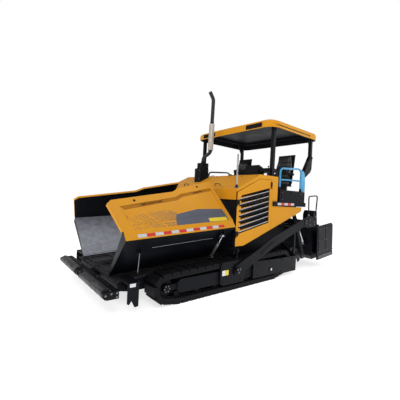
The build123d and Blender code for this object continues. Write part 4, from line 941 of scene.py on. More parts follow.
@dataclass
class Hopper:
    """The hopper's wings, floor and push beam: tape, films, bolts and wear plates."""

    repeats: Repeats
    front: float = -0.07
    tape_start: float = -0.262
    tape_pitch: float = 0.142
    tape_blocks: int = 12
    tape_low: float = 0.118
    tape_high: float = 0.068
    tape_gap: float = 0.002
    recess: float = 0.012
    squares_start: float = -1.06
    square_pitch: float = 0.040
    square_width: float = 0.026
    columns: int = 21
    rows: int = 9
    wear_bolts: int = 6
    wear_bolt_pitch: float = 0.41

    def dress(self) -> None:
        """Finishes the hopper's solids and adds its fittings."""
        for label, side in SIDES.items():
            self._paint_wing(label, side)
            self._tape(label, side)
            self._films(label, side)
            self._bevels(label, side)
            self._fastenings(label, side)
            self._front_link(label, side)
        paint("hopper_floor", FLOOR_STEEL)
        paint("conveyor_slats", FLOOR_STEEL)
        paint("conveyor_tunnel", FLOOR_STEEL)
        for label in SIDES:
            paint(f"wing_barrel_{label}", ZINC)
            paint(f"wing_rod_{label}", CHROME)

    def _paint_wing(self, label: str, side: int) -> None:
        """Amber outside above the knee, black below it and inside, with the inner floor worn bright."""
        outward = BED.turn(0, 0.7513 * side, 0.66)
        under = BED.turn(0, 0.716 * side, -0.698)

        def height(centre: Vector) -> float:
            """How far a point lies above the hopper floor."""
            return (centre - BED.at(0, 0, 0)).dot(BED.turn(0, 0, 1))

        def outer(centre: Vector, normal: Vector) -> bool:
            """Whether a face is of the upper plate's outside."""
            return normal.dot(outward) > 0.9 and height(centre) > 0.6

        def strip(centre: Vector, normal: Vector) -> bool:
            """Whether a face is of the strip below the crease."""
            return normal.dot(BED.turn(0, 0.832 * side,
                                       0.5547)) > 0.95 and abs(centre.y) > 1.195 and height(centre) > 0.6

        def rim(centre: Vector, normal: Vector) -> bool:
            """Whether a face is an edge of the plate."""
            level = height(centre)
            return abs(normal.dot(outward)) < 0.5 and (level > 1.15 or level > 0.735 and abs(normal.dot(under)) < 0.8)

        def inner_floor(centre: Vector, normal: Vector) -> bool:
            """Whether a face is of the sloping floor inside."""
            return normal.dot(BED.turn(0, -0.716 * side, 0.698)) > 0.97

        def inner_face(centre: Vector, normal: Vector) -> bool:
            """Whether a face is of the upper plate's inside."""
            return normal.dot(outward) < -0.9

        paint(f"wing_{label}", BLACK,
              ((YELLOW, outer), (YELLOW, strip), (YELLOW, rim), (WORN_FLOOR, inner_floor), (WING_INNER, inner_face)))

    def _tape(self, label: str, side: int) -> None:
        """Red and silver reflective blocks along the strip below the crease."""
        face = WingFace(side)
        tape = Shape(f"wing_{label}_reflective_tape", TAPE_WHITE)
        for block in range(self.tape_blocks):
            tape.use(TAPE_RED if block % 2 else TAPE_WHITE)
            start = self.tape_start - block * self.tape_pitch
            end = start - self.tape_pitch + self.tape_gap
            corners = [face.strip(along, down) for along, down in ((start, self.tape_low), (end, self.tape_low),
                                                                   (end, self.tape_high), (start, self.tape_high))]
            outward = face.strip(start, self.tape_low, FILM) - corners[0]
            tape.prism([c - outward * 0.2 for c in corners], outward * 1.2)
        tape.done(f"wing_{label}")

    def _films(self, label: str, side: int) -> None:
        """Graphite band, its fading squares and the bare yellow strip on the upper plate."""
        face = WingFace(side)
        sunk = -self.recess
        film = face.upper(0, 0, FILM) - face.upper(0, 0, 0)

        def sheet(shape: Shape, points: Iterable[Pair], out: float) -> None:
            """Lays one sheet of film on the upper plate."""
            shape.prism([face.upper(u, t, out) for u, t in points], film)

        band = Shape(f"wing_{label}_graphite_band", GRAPHITE)
        corners = (-1.0, -2.14)
        low, high = ([(u, self.recess_edge(u) + rise) for u in corners] for rise in (-0.001, 0.003))
        sheet(band, ((-0.985, 0.012), *low, (-2.14, 0.012)), 0.0)
        step = [face.upper(*low[0], 0.0), face.upper(*high[0], sunk), face.upper(*high[1], sunk),
                face.upper(*low[1], 0.0)]
        band.prism(step, film)
        sheet(band, (high[0], (-1.07, 0.235), (-1.56, 0.315), (-2.13, 0.285), high[1]), sunk)
        band.use(BARE_YELLOW)
        sheet(band, ((-1.68, 0.020), (-2.11, 0.014), (-2.11, 0.090), (-1.68, 0.094)), FILM)
        band.done(f"wing_{label}")
        spots = []
        for i in range(self.columns):
            for j in range(self.rows):
                share = i / (self.columns - 1)
                if (i * 7 + j * 3) % 10 > 9.5 - 3.0 * share:
                    continue
                along = self.squares_start + i * self.square_pitch
                up = 0.020 + j * self.square_pitch + (0.014 if i % 2 else 0)
                edge = self.recess_edge(along)
                above = up > 0.35 - 0.08 * share - 0.5 * max(0.0, 0.18 - share)
                under_band = along < -0.985 and up < edge + 0.03
                if above or abs(up - edge) < 0.016 or under_band:
                    continue
                size = (1.0 - 0.50 * share) * (0.75 + 0.25 * ((i * 5 + j * 11) % 7) / 6)
                spots.append((face.upper(along, up, 0.0008 + (sunk if up > edge else 0.0)), size))
        facing = face.upper(0, 0, 1) - face.upper(0, 0, 0)
        self.repeats.square_field(f"wing_{label}_fading_squares", spots, facing, BED.turn(1, 0, 0.35),
                                  self.square_width, f"wing_{label}", GRAPHITE, Slot.YELLOW)

    @staticmethod
    def recess_edge(along: float) -> float:
        """How far up the plate the recess starts."""
        share = (-along - 0.205) / 0.695
        return 0.072 + 0.038 * share if share < 1 else 0.110 + 0.080 * (-along - 0.90) / 1.268

    def _bevels(self, label: str, side: int) -> None:
        """The sloping sides of the recess at its top and front, the top ones in a darker amber as painted shade, and
        a painted highlight strip along the edge of the rib below.
        """
        face = WingFace(side)
        slopes = Shape(f"wing_{label}_recess_slopes", SHADED_AMBER)
        outer = [(-0.205, 0.072), (-0.131, 0.440), (-1.190, 0.590), (-1.340, 0.660), (-2.130, 0.799)]
        inner = [(-0.262, 0.085), (-0.200, 0.378), (-1.210, 0.528), (-1.360, 0.598), (-2.125, 0.738)]
        thin = face.upper(0, 0, -0.0004) - face.upper(0, 0, 0)
        # The front slope keeps the plain amber; the top slopes take the darker amber, which is painted shade.
        for number in range(4):
            slopes.use(YELLOW if number == 0 else SHADED_AMBER)
            ends = (number, number + 1)
            corners = [face.upper(*outer[i], -0.0003) for i in ends] + [face.upper(*inner[i], -0.0114)
                    for i in ends[::-1]]
            slopes.prism(corners, thin)
        slopes.done(f"wing_{label}")
        # A painted highlight strip along the rib's lower edge.
        rib = Shape(f"wing_{label}_rib_edge", HIGHLIGHT_EDGE)
        ends = [face.under(u, up, 0.0125)
                for u, up in ((-0.565, 0.634), (-0.565, 0.646), (-1.80, 0.646), (-1.80, 0.634))]
        rib.prism(ends, face.under(0, 0, 0.0015) - face.under(0, 0, 0))
        rib.done(f"wing_{label}")

    def _fastenings(self, label: str, side: int) -> None:
        """Plugs near the top edge, hinge bolts, pins of the cylinder ears and wear plate screws."""
        face = WingFace(side)
        facing = face.upper(0, 0, 1) - face.upper(0, 0, 0)
        plugs = Shape(f"wing_{label}_plugs", PLASTIC)
        profile = ((0, 0.021), (0.006, 0.021), (0.009, 0.017), (0.009, 0.009), (0.004, 0.007))
        for along, up in ((-0.404, 0.54), (-1.80, 0.83)):
            plugs.turned(face.upper(along, up, -0.002), facing, profile, 20)
        plugs.done(f"wing_{label}")
        below = face.under(0, 0, 1) - face.under(0, 0, 0)
        spots = [(face.under(self.front - 0.06 - k * self.wear_bolt_pitch, up, 0.0), below)
                 for k in range(self.wear_bolts) for up in (0.08, 0.80)]
        self.repeats.bolt_field(f"wing_{label}_wear_plate_bolts", spots, 0.013, f"wing_{label}", finish=BLACK,
                                slot=Slot.BLACK)
        ears = Shape(f"wing_{label}_cylinder_pin_heads", BOLT_STEEL)
        for along, way in ((-1.875, 1), (-1.975, -1)):
            ears.turned(BED.at(along, side * 1.240, 0.474), BED.turn(way, 0, 0),
                        ((0, 0.021), (0.010, 0.021), (0.013, 0.017)), 16)
        ears.done(f"wing_{label}")

    def _front_link(self, label: str, side: int) -> None:
        """The thin stay that hangs from a lug under the wing's front end; its lower end is free."""
        face = WingFace(side)
        top = face.under(-0.36, 0.60, 0.045)
        stay = Shape(f"wing_{label}_front_stay", BLACK)
        root = face.under(-0.36, 0.60, -0.002)
        along = BED.turn(1, 0, 0)
        down = (face.under(-0.36, 0.54, 0) - face.under(-0.36, 0.60, 0)).normalized()
        out = (top - root).normalized()
        for way in (-0.024, 0.012):
            stay.prism([root + along * way - down * 0.04, root + along * way + down * 0.04,
                        top + along * way + down * 0.016 + out * 0.012,
                        top + along * way - down * 0.016 + out * 0.012], along * 0.012)
        end = top + Vector((0.01, -0.02 * side, -0.30))
        stay.use(BOLT_STEEL).bar(top + UP * 0.01, end, 0.0075)
        stay.use(BLACK).turned(top - along * 0.026, along, ((0, 0.013), (0.052, 0.013)), 12)
        stay.turned(end - UP * 0.012 - along * 0.014, along, ((0, 0.020), (0.028, 0.020)), 14)
        stay.done(f"wing_{label}", bevel=0.002)


# ---- solids of one finish, hood and station ----


@dataclass
class Solids:
    """Finishes of the solids that need no face by face choice."""

    finishes: dict[str, Finish] = field(default_factory=lambda: {
        "track_left": PAD_RUBBER, "track_right": PAD_RUBBER, "track_frames": SATIN_BLACK, "main_frame": SATIN_BLACK,
        "engine_block": SATIN_BLACK, "hopper_rear_wall": SATIN_BLACK, "muffler": SATIN_BLACK,
        "exhaust_stack": EXHAUST,
        "guide_pole": ZINC, "deck": SATIN_BLACK, "side_boxes": BLACK, "control_console": PLASTIC,
        "seat_frames": PLASTIC,
        "seat_cushions": VINYL, "canopy_posts": BLACK, "tow_guides": BLACK, "side_guards": BLACK,
        "auger_frame": SATIN_BLACK, "push_beam": BLACK, "push_roller_left": ROLLER_STEEL,
        "push_roller_right": ROLLER_STEEL,
        "auger_left": SCREED_STEEL, "auger_right": SCREED_STEEL, "tow_arms": BLACK, "screed_main": BLACK,
        "screed_extension_left": BLACK, "screed_extension_right": BLACK, "screed_handrails": BLACK,
        "lift_barrels": BLACK, "lift_rods": CHROME})

    def dress(self) -> None:
        """Gives each solid its finish."""
        for node, finish in self.finishes.items():
            paint(node, finish)


@dataclass
class Hood:
    """The engine hood, its doors and the canopy."""

    repeats: Repeats

    def dress(self) -> None:
        """Finishes the amber sheet metal and its black insides."""
        def inside(centre: Vector, normal: Vector) -> bool:
            """Whether a face looks into the engine bay or down."""
            return abs(centre.y) < 1.2029 and normal.y * centre.y < 0 or normal.z < -0.3

        paint("hood_shell", YELLOW, ((SATIN_BLACK, inside),))
        for label in SIDES:
            paint(f"hood_door_{label}", YELLOW,
                  ((SATIN_BLACK, lambda c, n: abs(c.y) < 1.2225), (BLACK, lambda c, n: abs(c.y) > 1.2301)))
        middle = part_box("canopy_roof")[0].lerp(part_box("canopy_roof")[1], 0.5)

        def under_roof(centre: Vector, normal: Vector) -> bool:
            """Whether a face is of the ceiling or the rim's inside."""
            inward = (middle.x - centre.x) * normal.x + (middle.y - centre.y) * normal.y > 0
            return normal.z < -0.2 or inward and abs(normal.z) < 0.3

        paint("canopy_roof", YELLOW, ((SATIN_BLACK, under_roof),))
        paint("guard_rails", BLUE, ((DARK_BLUE, lambda c, n: c.y < 0),))


@dataclass
class Station:
    """The operator's station: seats, console, deck plates, box lids and canopy fittings."""

    repeats: Repeats
    seat_x: float = -1.33
    seat_y: float = 0.70
    deck_top: float = 1.692
    box_top: float = 1.95
    console_side: float = 0.15
    cushion_cap: float = 0.010
    squab_half: float = 0.222
    squab_bottom: float = 2.116
    squab_top: float = 2.205
    back_half: float = 0.226
    back_taper: float = 0.055
    taper_from: float = 2.60
    tread_columns: int = 44
    tread_rows: int = 34
    tread_pitch: Pair = (0.0245, 0.0565)
    tape_blocks: int = 5
    tape_pitch: float = 0.13
    rim: float = 1.2652

    def dress(self) -> None:
        """Adds the station's pieces."""
        for label, side in SIDES.items():
            self._seat(label, side)
            self._box(label, side)
            self._rail_clamps(label, side)
        self._console()
        self._deck()
        self._canopy()

    def _seat(self, label: str, side: int) -> None:
        """Quilted cushions, armrests and the suspension bellows of one seat."""
        x, y = self.seat_x, side * self.seat_y
        pad = Shape(f"seat_{label}_squab", VINYL)
        corners = [(-1, self.squab_bottom), (-1, self.squab_top), (1, self.squab_top), (1, self.squab_bottom)]
        pad.prism([Vector((x - 0.160, y + way * self.squab_half, z)) for way, z in corners], Vector((0.410, 0, 0)))
        squab = padded_out(pad.loose(bevel=0.028, segments=4), self.cushion_cap)
        sewn(squab, 0, (x - 0.04, x + 0.10))
        sewn(squab, 1, (y - 0.155, y + 0.155))
        top = 2.895 if side > 0 else 2.800
        line = [(x - 0.195, 2.250), (x - 0.285, top - 0.040), (x - 0.262, top - 0.004), (x - 0.222, top - 0.010),
                (x - 0.190, 2.600), (x - 0.115, 2.360),
                (x - 0.102, 2.250)]
        rest = Shape(f"seat_{label}_backrest", VINYL)
        near = [Vector((a, y - self._half(b, top), b)) for a, b in line]
        far = [Vector((a, y + self._half(b, top), b)) for a, b in line]
        rest.loft(near, far)
        back = padded_out(rest.loose(bevel=0.024, segments=4), self.cushion_cap)
        sewn(back, 2, (2.42, 2.56, 2.70))
        sewn(back, 1, (y - 0.135, y + 0.135))
        for cushion in (squab, back):
            mounted(cushion, "chassis")
            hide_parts("seat_cushions")
        arms = Shape(f"seat_{label}_armrests", PLASTIC)
        for way in (1, -1):
            across = y + way * 0.262
            arms.prism([Vector((x - 0.22, across - 0.028, z)) for z in (2.36, 2.415)]
                       + [Vector((x - 0.22, across + 0.028, z)) for z in (2.415, 2.36)],
                       Vector((0.33, 0, 0)))
            arms.bar((x - 0.20, across - way * 0.02, 2.16), (x - 0.20, across - way * 0.02, 2.37), 0.014)
        arms.done("chassis", bevel=0.012, segments=3)
        self.repeats.bar_row(f"seat_{label}_bellows", 9, (x + 0.01, y, 1.72), (0, 0, 0.041), (0.345, 0.325, 0.018),
                             "chassis", PLASTIC, Slot.PLASTIC)

    def _half(self, height: float, top: float) -> float:
        """Half the width of a backrest, which narrows over its upper third."""
        return self.back_half - self.back_taper * max(0.0, (height - self.taper_from) / (top - self.taper_from))

    def _box(self, label: str, side: int) -> None:
        """The lid of a side box with its latch, and the bolted door on its side."""
        lid = Shape(f"side_box_{label}_lid", BLACK)
        lid.box((-1.49, 0.995, self.box_top - 0.002), (-0.66, 1.24, self.box_top + 0.010), side)
        lid.box((-1.12, 1.246, self.box_top - 0.075), (-1.06, 1.262, self.box_top - 0.012), side)
        lid.done("chassis", bevel=0.004)
        seam = Shape(f"side_box_{label}_door", SATIN_BLACK)
        seam.box((-1.50, 1.2502, 1.725), (-0.66, 1.2552, 1.915), side)
        seam.done("chassis", bevel=0.003)
        bolts = [((x, side * 1.2555, z), (0, side, 0)) for x in (-0.69, -1.47) for z in (1.745, 1.895)]
        self.repeats.bolt_field(f"side_box_{label}_bolts", bolts, 0.009, "chassis")

    def _rail_clamps(self, label: str, side: int) -> None:
        """Sockets and clamps at the feet of the guard rails."""
        y = side * 1.205
        clamps = Shape(f"guard_rail_{label}_sockets", BLACK)
        for x in (-0.64, -1.50):
            clamps.turned((x, y, self.box_top), UP,
                          ((0, 0.042), (0.012, 0.042), (0.014, 0.029), (0.07, 0.029), (0.074, 0.026)), 16)
        clamps.done("chassis")

    def _console(self) -> None:
        """Screen, dials, levers and knobs of the control console and its long arm."""
        low = self.console_side
        slope = Vector((-0.16, 0, -0.06)).normalized()
        out = Vector((-0.06, 0, 0.16)).normalized()
        start = Vector((-0.715, 0, 2.5545))
        panel = Shape("console_panel", GLASS_BLACK)
        for y, width, run in ((low + 0.03, 0.15, 0.115), (low + 0.20, 0.18, 0.115)):
            near, far = (start + Vector((0, across, 0)) for across in (y, y + width))
            panel.prism([near, far, far + slope * run, near + slope * run], out * 0.006)
        panel.use(PLASTIC)
        for i in range(5):
            spot = start + Vector((0, low + 0.05 + i * 0.075, 0)) + slope * 0.135
            panel.turned(spot, out, ((0, 0.012), (0.016, 0.011), (0.02, 0.008)), 12)
        for y in (0.78, 0.90, -0.12, -0.22):
            panel.bar((-0.765, y, 2.42), (-0.775, y, 2.50), 0.006, 8)
            panel.turned((-0.775, y, 2.495), UP, ((0, 0.008), (0.008, 0.017), (0.024, 0.019), (0.034, 0.012)), 12)
        panel.done("chassis", bevel=0.0015)
        self.repeats.bolt_field("console_bolts",
                                [((-0.6385, y, z), (1, 0, 0)) for y in (0.19, 0.52) for z in (1.76, 1.95, 2.11)],
                                0.008, "chassis")

    def _deck(self) -> None:
        """Raised lozenges of the tread plate, and the reflective tape on the deck's edge."""
        spots = []
        for i in range(self.tread_columns):
            for j in range(self.tread_rows):
                x, y = -0.62 - i * self.tread_pitch[0], -0.93 + j * self.tread_pitch[1] + (0.028 if i % 2 else 0)
                spots.append(((x, y, self.deck_top + 0.0012), 1.0))
        self.repeats.square_field("deck_tread", spots, UP, Vector((1, 1, 0)), 0.013, "chassis", SATIN_BLACK,
                                  Slot.BLACK)
        for label, side in SIDES.items():
            tape = Shape(f"deck_edge_tape_{label}", TAPE_WHITE)
            for number in range(self.tape_blocks):
                tape.use(TAPE_RED if number % 2 else TAPE_WHITE)
                start = -0.53 - number * self.tape_pitch
                tape.box((start - 0.129, 1.2562, 1.615), (start, 1.2562 + FILM, 1.668), side)
            tape.done("chassis")

    def _canopy(self) -> None:
        """Slots and bare dark plates on the rim, and the bolts of the posts."""
        trim = Shape("canopy_rim_trim", SATIN_BLACK)
        for side in (1, -1):
            trim.box((-1.70, self.rim, 3.333), (-0.37, self.rim + 0.003, 3.352), side)
            trim.box((-1.72, self.rim, 3.312), (-1.695, self.rim + 0.003, 3.352), side)
            trim.turned((-0.317, side * 1.264, 3.341), (0, side, 0), ((0, 0.012), (0.004, 0.012), (0.006, 0.008)), 12)
            trim.box((-0.1915, 0.52, 3.305), (-0.1865, 0.98, 3.405), side)
        trim.done("chassis", bevel=0.001)
        bolts = []
        for side in (1, -1):
            for x, z in ((-0.29, 2.262), (-0.47, 2.262)):
                bolts.append(((x, side * 1.150, z - 0.026), UP))
            for x, z in ((-1.975, 2.90), (-1.66, 2.40), (-1.69, 2.10), (-1.69, 1.80)):
                bolts.append(((x, side * 1.1945, z), (0, side, 0)))
        self.repeats.bolt_field("canopy_post_bolts", bolts, 0.012, "chassis")


@dataclass
class Exhaust:
    """The muffler's straps, the stack's clamps and heat guard, and the guide pole's clip and sleeve."""

    repeats: Repeats
    place: Pair = (0.055, -0.40)
    lean: float = -20 / 1240
    lean_from: float = 2.9
    pole: Pair = (0.712, 1.165)

    def _at(self, height: float) -> Vector:
        """A point of the stack's axis."""
        return Vector((self.place[0] + self.lean * (height - self.lean_from), self.place[1], height))

    def dress(self) -> None:
        """Adds the exhaust's pieces."""
        up = Vector((self.lean, 0, 1))
        clamps = Shape("exhaust_clamps", EXHAUST)
        for height in (2.865, 3.58):
            clamps.turned(self._at(height), up, ((0, 0.048), (0.004, 0.051), (0.026, 0.051), (0.03, 0.048)), 20)
        clamps.done("chassis")
        guard = Shape("exhaust_heat_guard_skin", GUARD_STEEL)
        guard.turned(self._at(2.892), up,
                     ((0, 0.058), (0.001, 0.0655), (0.006, 0.0675), (0.648, 0.0675), (0.654, 0.0655), (0.655, 0.050)),
                     36)
        guard.done("chassis")
        straps = Shape("muffler_straps", SATIN_BLACK)
        for z in (2.13, 2.33):
            straps.box((0.166, -0.514, z), (0.434, -0.296, z + 0.03))
        straps.box((0.165, -0.44, 2.395), (0.435, -0.37, 2.406))
        straps.done("chassis", bevel=0.003)
        bolts = [((0.435, y, z), (1, 0, 0)) for y in (-0.49, -0.32) for z in (2.145, 2.345)]
        self.repeats.bolt_field("muffler_bolts", bolts, 0.009, "chassis")
        clip = Shape("guide_pole_clip", SATIN_BLACK)
        clip.turned((*self.pole, 1.932), UP,
                    ((0, 0.034), (0.01, 0.034), (0.014, 0.021), (0.05, 0.020), (0.054, 0.016)), 16)
        clip.turned((*self.pole, 2.20), UP, ((0, 0.015), (0.024, 0.015)), 12)
        clip.bar((*self.pole, 2.213), (0.712, 1.20, 2.213), 0.006, 8)
        clip.done("chassis")
        low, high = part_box("guide_pole")
        sleeve = Shape("guide_pole_sleeve", ZINC)
        sleeve.bar((*self.pole, low[2] + 0.01), (*self.pole, high[2] - 0.02), 0.0165, 16)
        sleeve.done("chassis")


@dataclass
class Undercarriage:
    """Chain links, sprocket teeth and wheel caps of the tracks, and the plates beside them."""

    repeats: Repeats
    idler: Point = (2.25, 0.275, 0.235)
    front: Point = (2.03, 0.110, 0.110)
    rear: Point = (-0.48, 0.110, 0.110)
    sprocket: Point = (-0.85, 0.340, 0.262)
    shoe_pitch: float = 0.168
    chain_inset: float = 0.075
    teeth: int = 14

    def dress(self) -> None:
        """Adds the pieces of both sides."""
        for label, side in SIDES.items():
            self._chain(label, side)
            self._wheels(label, side)
            self._plates(label, side)

    def _route(self, inset: float, y: float) -> list[Vector]:
        """Points round the wheels' hull, inset from the pads' outer faces."""
        wheels = [(x, z, r - inset) for x, z, r in (self.idler, self.front, self.rear, self.sprocket)]
        turns = []
        for (ax, az, ar), (bx, bz, br) in zip(wheels, wheels[1:] + wheels[:1]):
            gap = math.hypot(bx - ax, bz - az)
            turns.append(math.atan2(bz - az, bx - ax) + math.acos((ar - br) / gap))
        line = []
        for number, (x, z, r) in enumerate(wheels):
            start, end = turns[number - 1], turns[number]
            while end > start:
                end -= 2 * math.pi
            steps = max(2, round((start - end) / math.radians(9)))
            line += [Vector((x + r * math.cos(start + (end - start) * k / steps), y,
                             z + r * math.sin(start + (end - start) * k / steps)))
                     for k in range(steps + 1)]
        return line

    def _chain(self, label: str, side: int) -> None:
        """Two strands of links inside the shoes."""
        for number, across in enumerate((1.065, 1.185)):
            route = self._route(self.chain_inset, side * across)
            length = sum((b - a).length for a, b in zip(route, route[1:] + route[:1]))
            count = round(length / self.shoe_pitch)
            sizes = {"Length": self.shoe_pitch * 0.93, "Height": 0.052, "Thickness": 0.024, "Pin Radius": 0.017}
            self.repeats.chain(f"track_{label}_links_{number}", route, count, sizes, "chassis", CHAIN_STEEL, Slot.PAD)

    def _wheels(self, label: str, side: int) -> None:
        """Hub caps, sprocket teeth and hub bolts."""
        axis = Vector((0, side, 0))
        wheels = Shape(f"track_{label}_wheel_caps", SATIN_BLACK)
        for x, z, radius in ((*self.idler[:2], 0.062), (*self.sprocket[:2], 0.085)):
            profile = ((0, radius), (0.006, radius), (0.010, radius * 0.86), (0.014, radius * 0.4),
                       (0.016, radius * 0.3))
            wheels.turned((x, side * 1.254, z), axis, profile, 20)
        for number in range(self.teeth):
            angle = 2 * math.pi * number / self.teeth
            way = Vector((math.cos(angle), 0, math.sin(angle)))
            across = Vector((-way.z, 0, way.x))
            hub = Vector((self.sprocket[0], side * 1.107, self.sprocket[1]))
            root, tip = hub + way * 0.158, hub + way * 0.188
            wheels.prism([root - across * 0.024, tip - across * 0.009, tip + across * 0.009, root + across * 0.024],
                         axis * 0.036)
        wheels.done("chassis")
        bolts = []
        for x, z, ring, count in ((*self.idler[:2], 0.044, 6), (*self.sprocket[:2], 0.066, 10)):
            for k in range(count):
                angle = 2 * math.pi * k / count
                bolts.append((Vector((x + ring * math.cos(angle), side * 1.2635, z + ring * math.sin(angle))), axis))
        self.repeats.bolt_field(f"track_{label}_hub_bolts", bolts, 0.009, "chassis")

    def _plates(self, label: str, side: int) -> None:
        """Bolts, blank labels and a lamp on the guide, side guard and front guard."""
        axis = Vector((0, side, 0))
        places = ((1.09, 0.20), (1.09, 0.43), (0.60, 0.18), (0.60, 0.48), (0.85, 0.50), (0.10, 0.18), (0.10, 0.40),
                  (-0.30, 0.18), (-0.30, 0.40),
                  (-0.75, 0.15), (-0.75, 0.40), (-1.18, 0.15), (-1.18, 0.40))
        self.repeats.bolt_field(f"track_{label}_plate_bolts", [((x, side * 1.2975, z), axis) for x, z in places],
                                0.013, "chassis", BLACK, Slot.BLACK)
        guard = [((x, side * 1.2625, z), axis) for x, z in ((2.75, 0.36), (2.86, 0.36), (2.75, 0.24), (2.86, 0.24))]
        self.repeats.bolt_field(f"front_guard_{label}_bolts", guard, 0.012, "chassis", BLACK, Slot.BLACK)
        plates = Shape(f"blank_plates_{label}", BARE_WHITE)
        plates.box((2.776, 1.2622, 0.405), (2.866, 1.2636, 0.455), side)
        plates.box((1.03, 1.2972, 0.31), (1.11, 1.2986, 0.405), side)
        plates.use(BARE_YELLOW).box((0.95, 1.2972, 0.31), (1.028, 1.2986, 0.405), side)
        plates.done("chassis")
        lamp = Shape(f"side_marker_{label}", PLASTIC)
        lamp.turned((-0.339, side * 1.297, 0.248), axis, ((0, 0.034), (0.014, 0.034), (0.018, 0.030)), 20)
        lamp.use(LAMP_GLASS).turned((-0.339, side * 1.3145, 0.248), axis,
                                    ((0, 0.028), (0.004, 0.026), (0.007, 0.018), (0.008, 0.008)), 20)
        lamp.done("chassis")


@dataclass
class FrontBeam:
    """Bolts and tow hooks of the push beam, and the rings of its rollers."""

    repeats: Repeats
    roller: Pair = (3.141, 0.330)

    def dress(self) -> None:
        """Adds the beam's pieces."""
        spots = []
        for side in (1, -1):
            spots += [((x, side * 1.2005, z), (0, side, 0))
                      for x, z in ((3.02, 0.29), (3.02, 0.345), (3.10, 0.345), (3.18, 0.33))]
            spots += [((3.10, side * y, 0.3725), UP) for y in (0.035, 1.155)]
        spots += [((3.038, y, 0.3725), UP) for y in (-0.9, -0.45, 0.45, 0.9)]
        self.repeats.bolt_field("push_beam_bolts", spots, 0.012, "push_beam", BOLT_STEEL, Slot.ZINC)
        hooks = Shape("push_beam_tow_hooks", BLACK)
        for side in (1, -1):
            route = [(x, side * y, 0.30) for x, y in ((2.998, 0.62), (2.955, 0.62), (2.955, 0.72), (2.998, 0.72))]
            hooks.pipe(route, 0.012, 0.03)
        hooks.done("push_beam")
        for label, side in SIDES.items():
            rings = Shape(f"push_roller_{label}_rings", ROLLER_STEEL)
            for y in (0.185, 0.42, 0.655, 0.89, 1.105):
                start = Vector((self.roller[0], side * y - 0.012, self.roller[1]))
                rings.turned(start, Vector((0, 1, 0)),
                             ((0, 0.0735), (0.003, 0.0765), (0.021, 0.0765), (0.024, 0.0735)), 28)
            rings.done(f"push_roller_{label}")


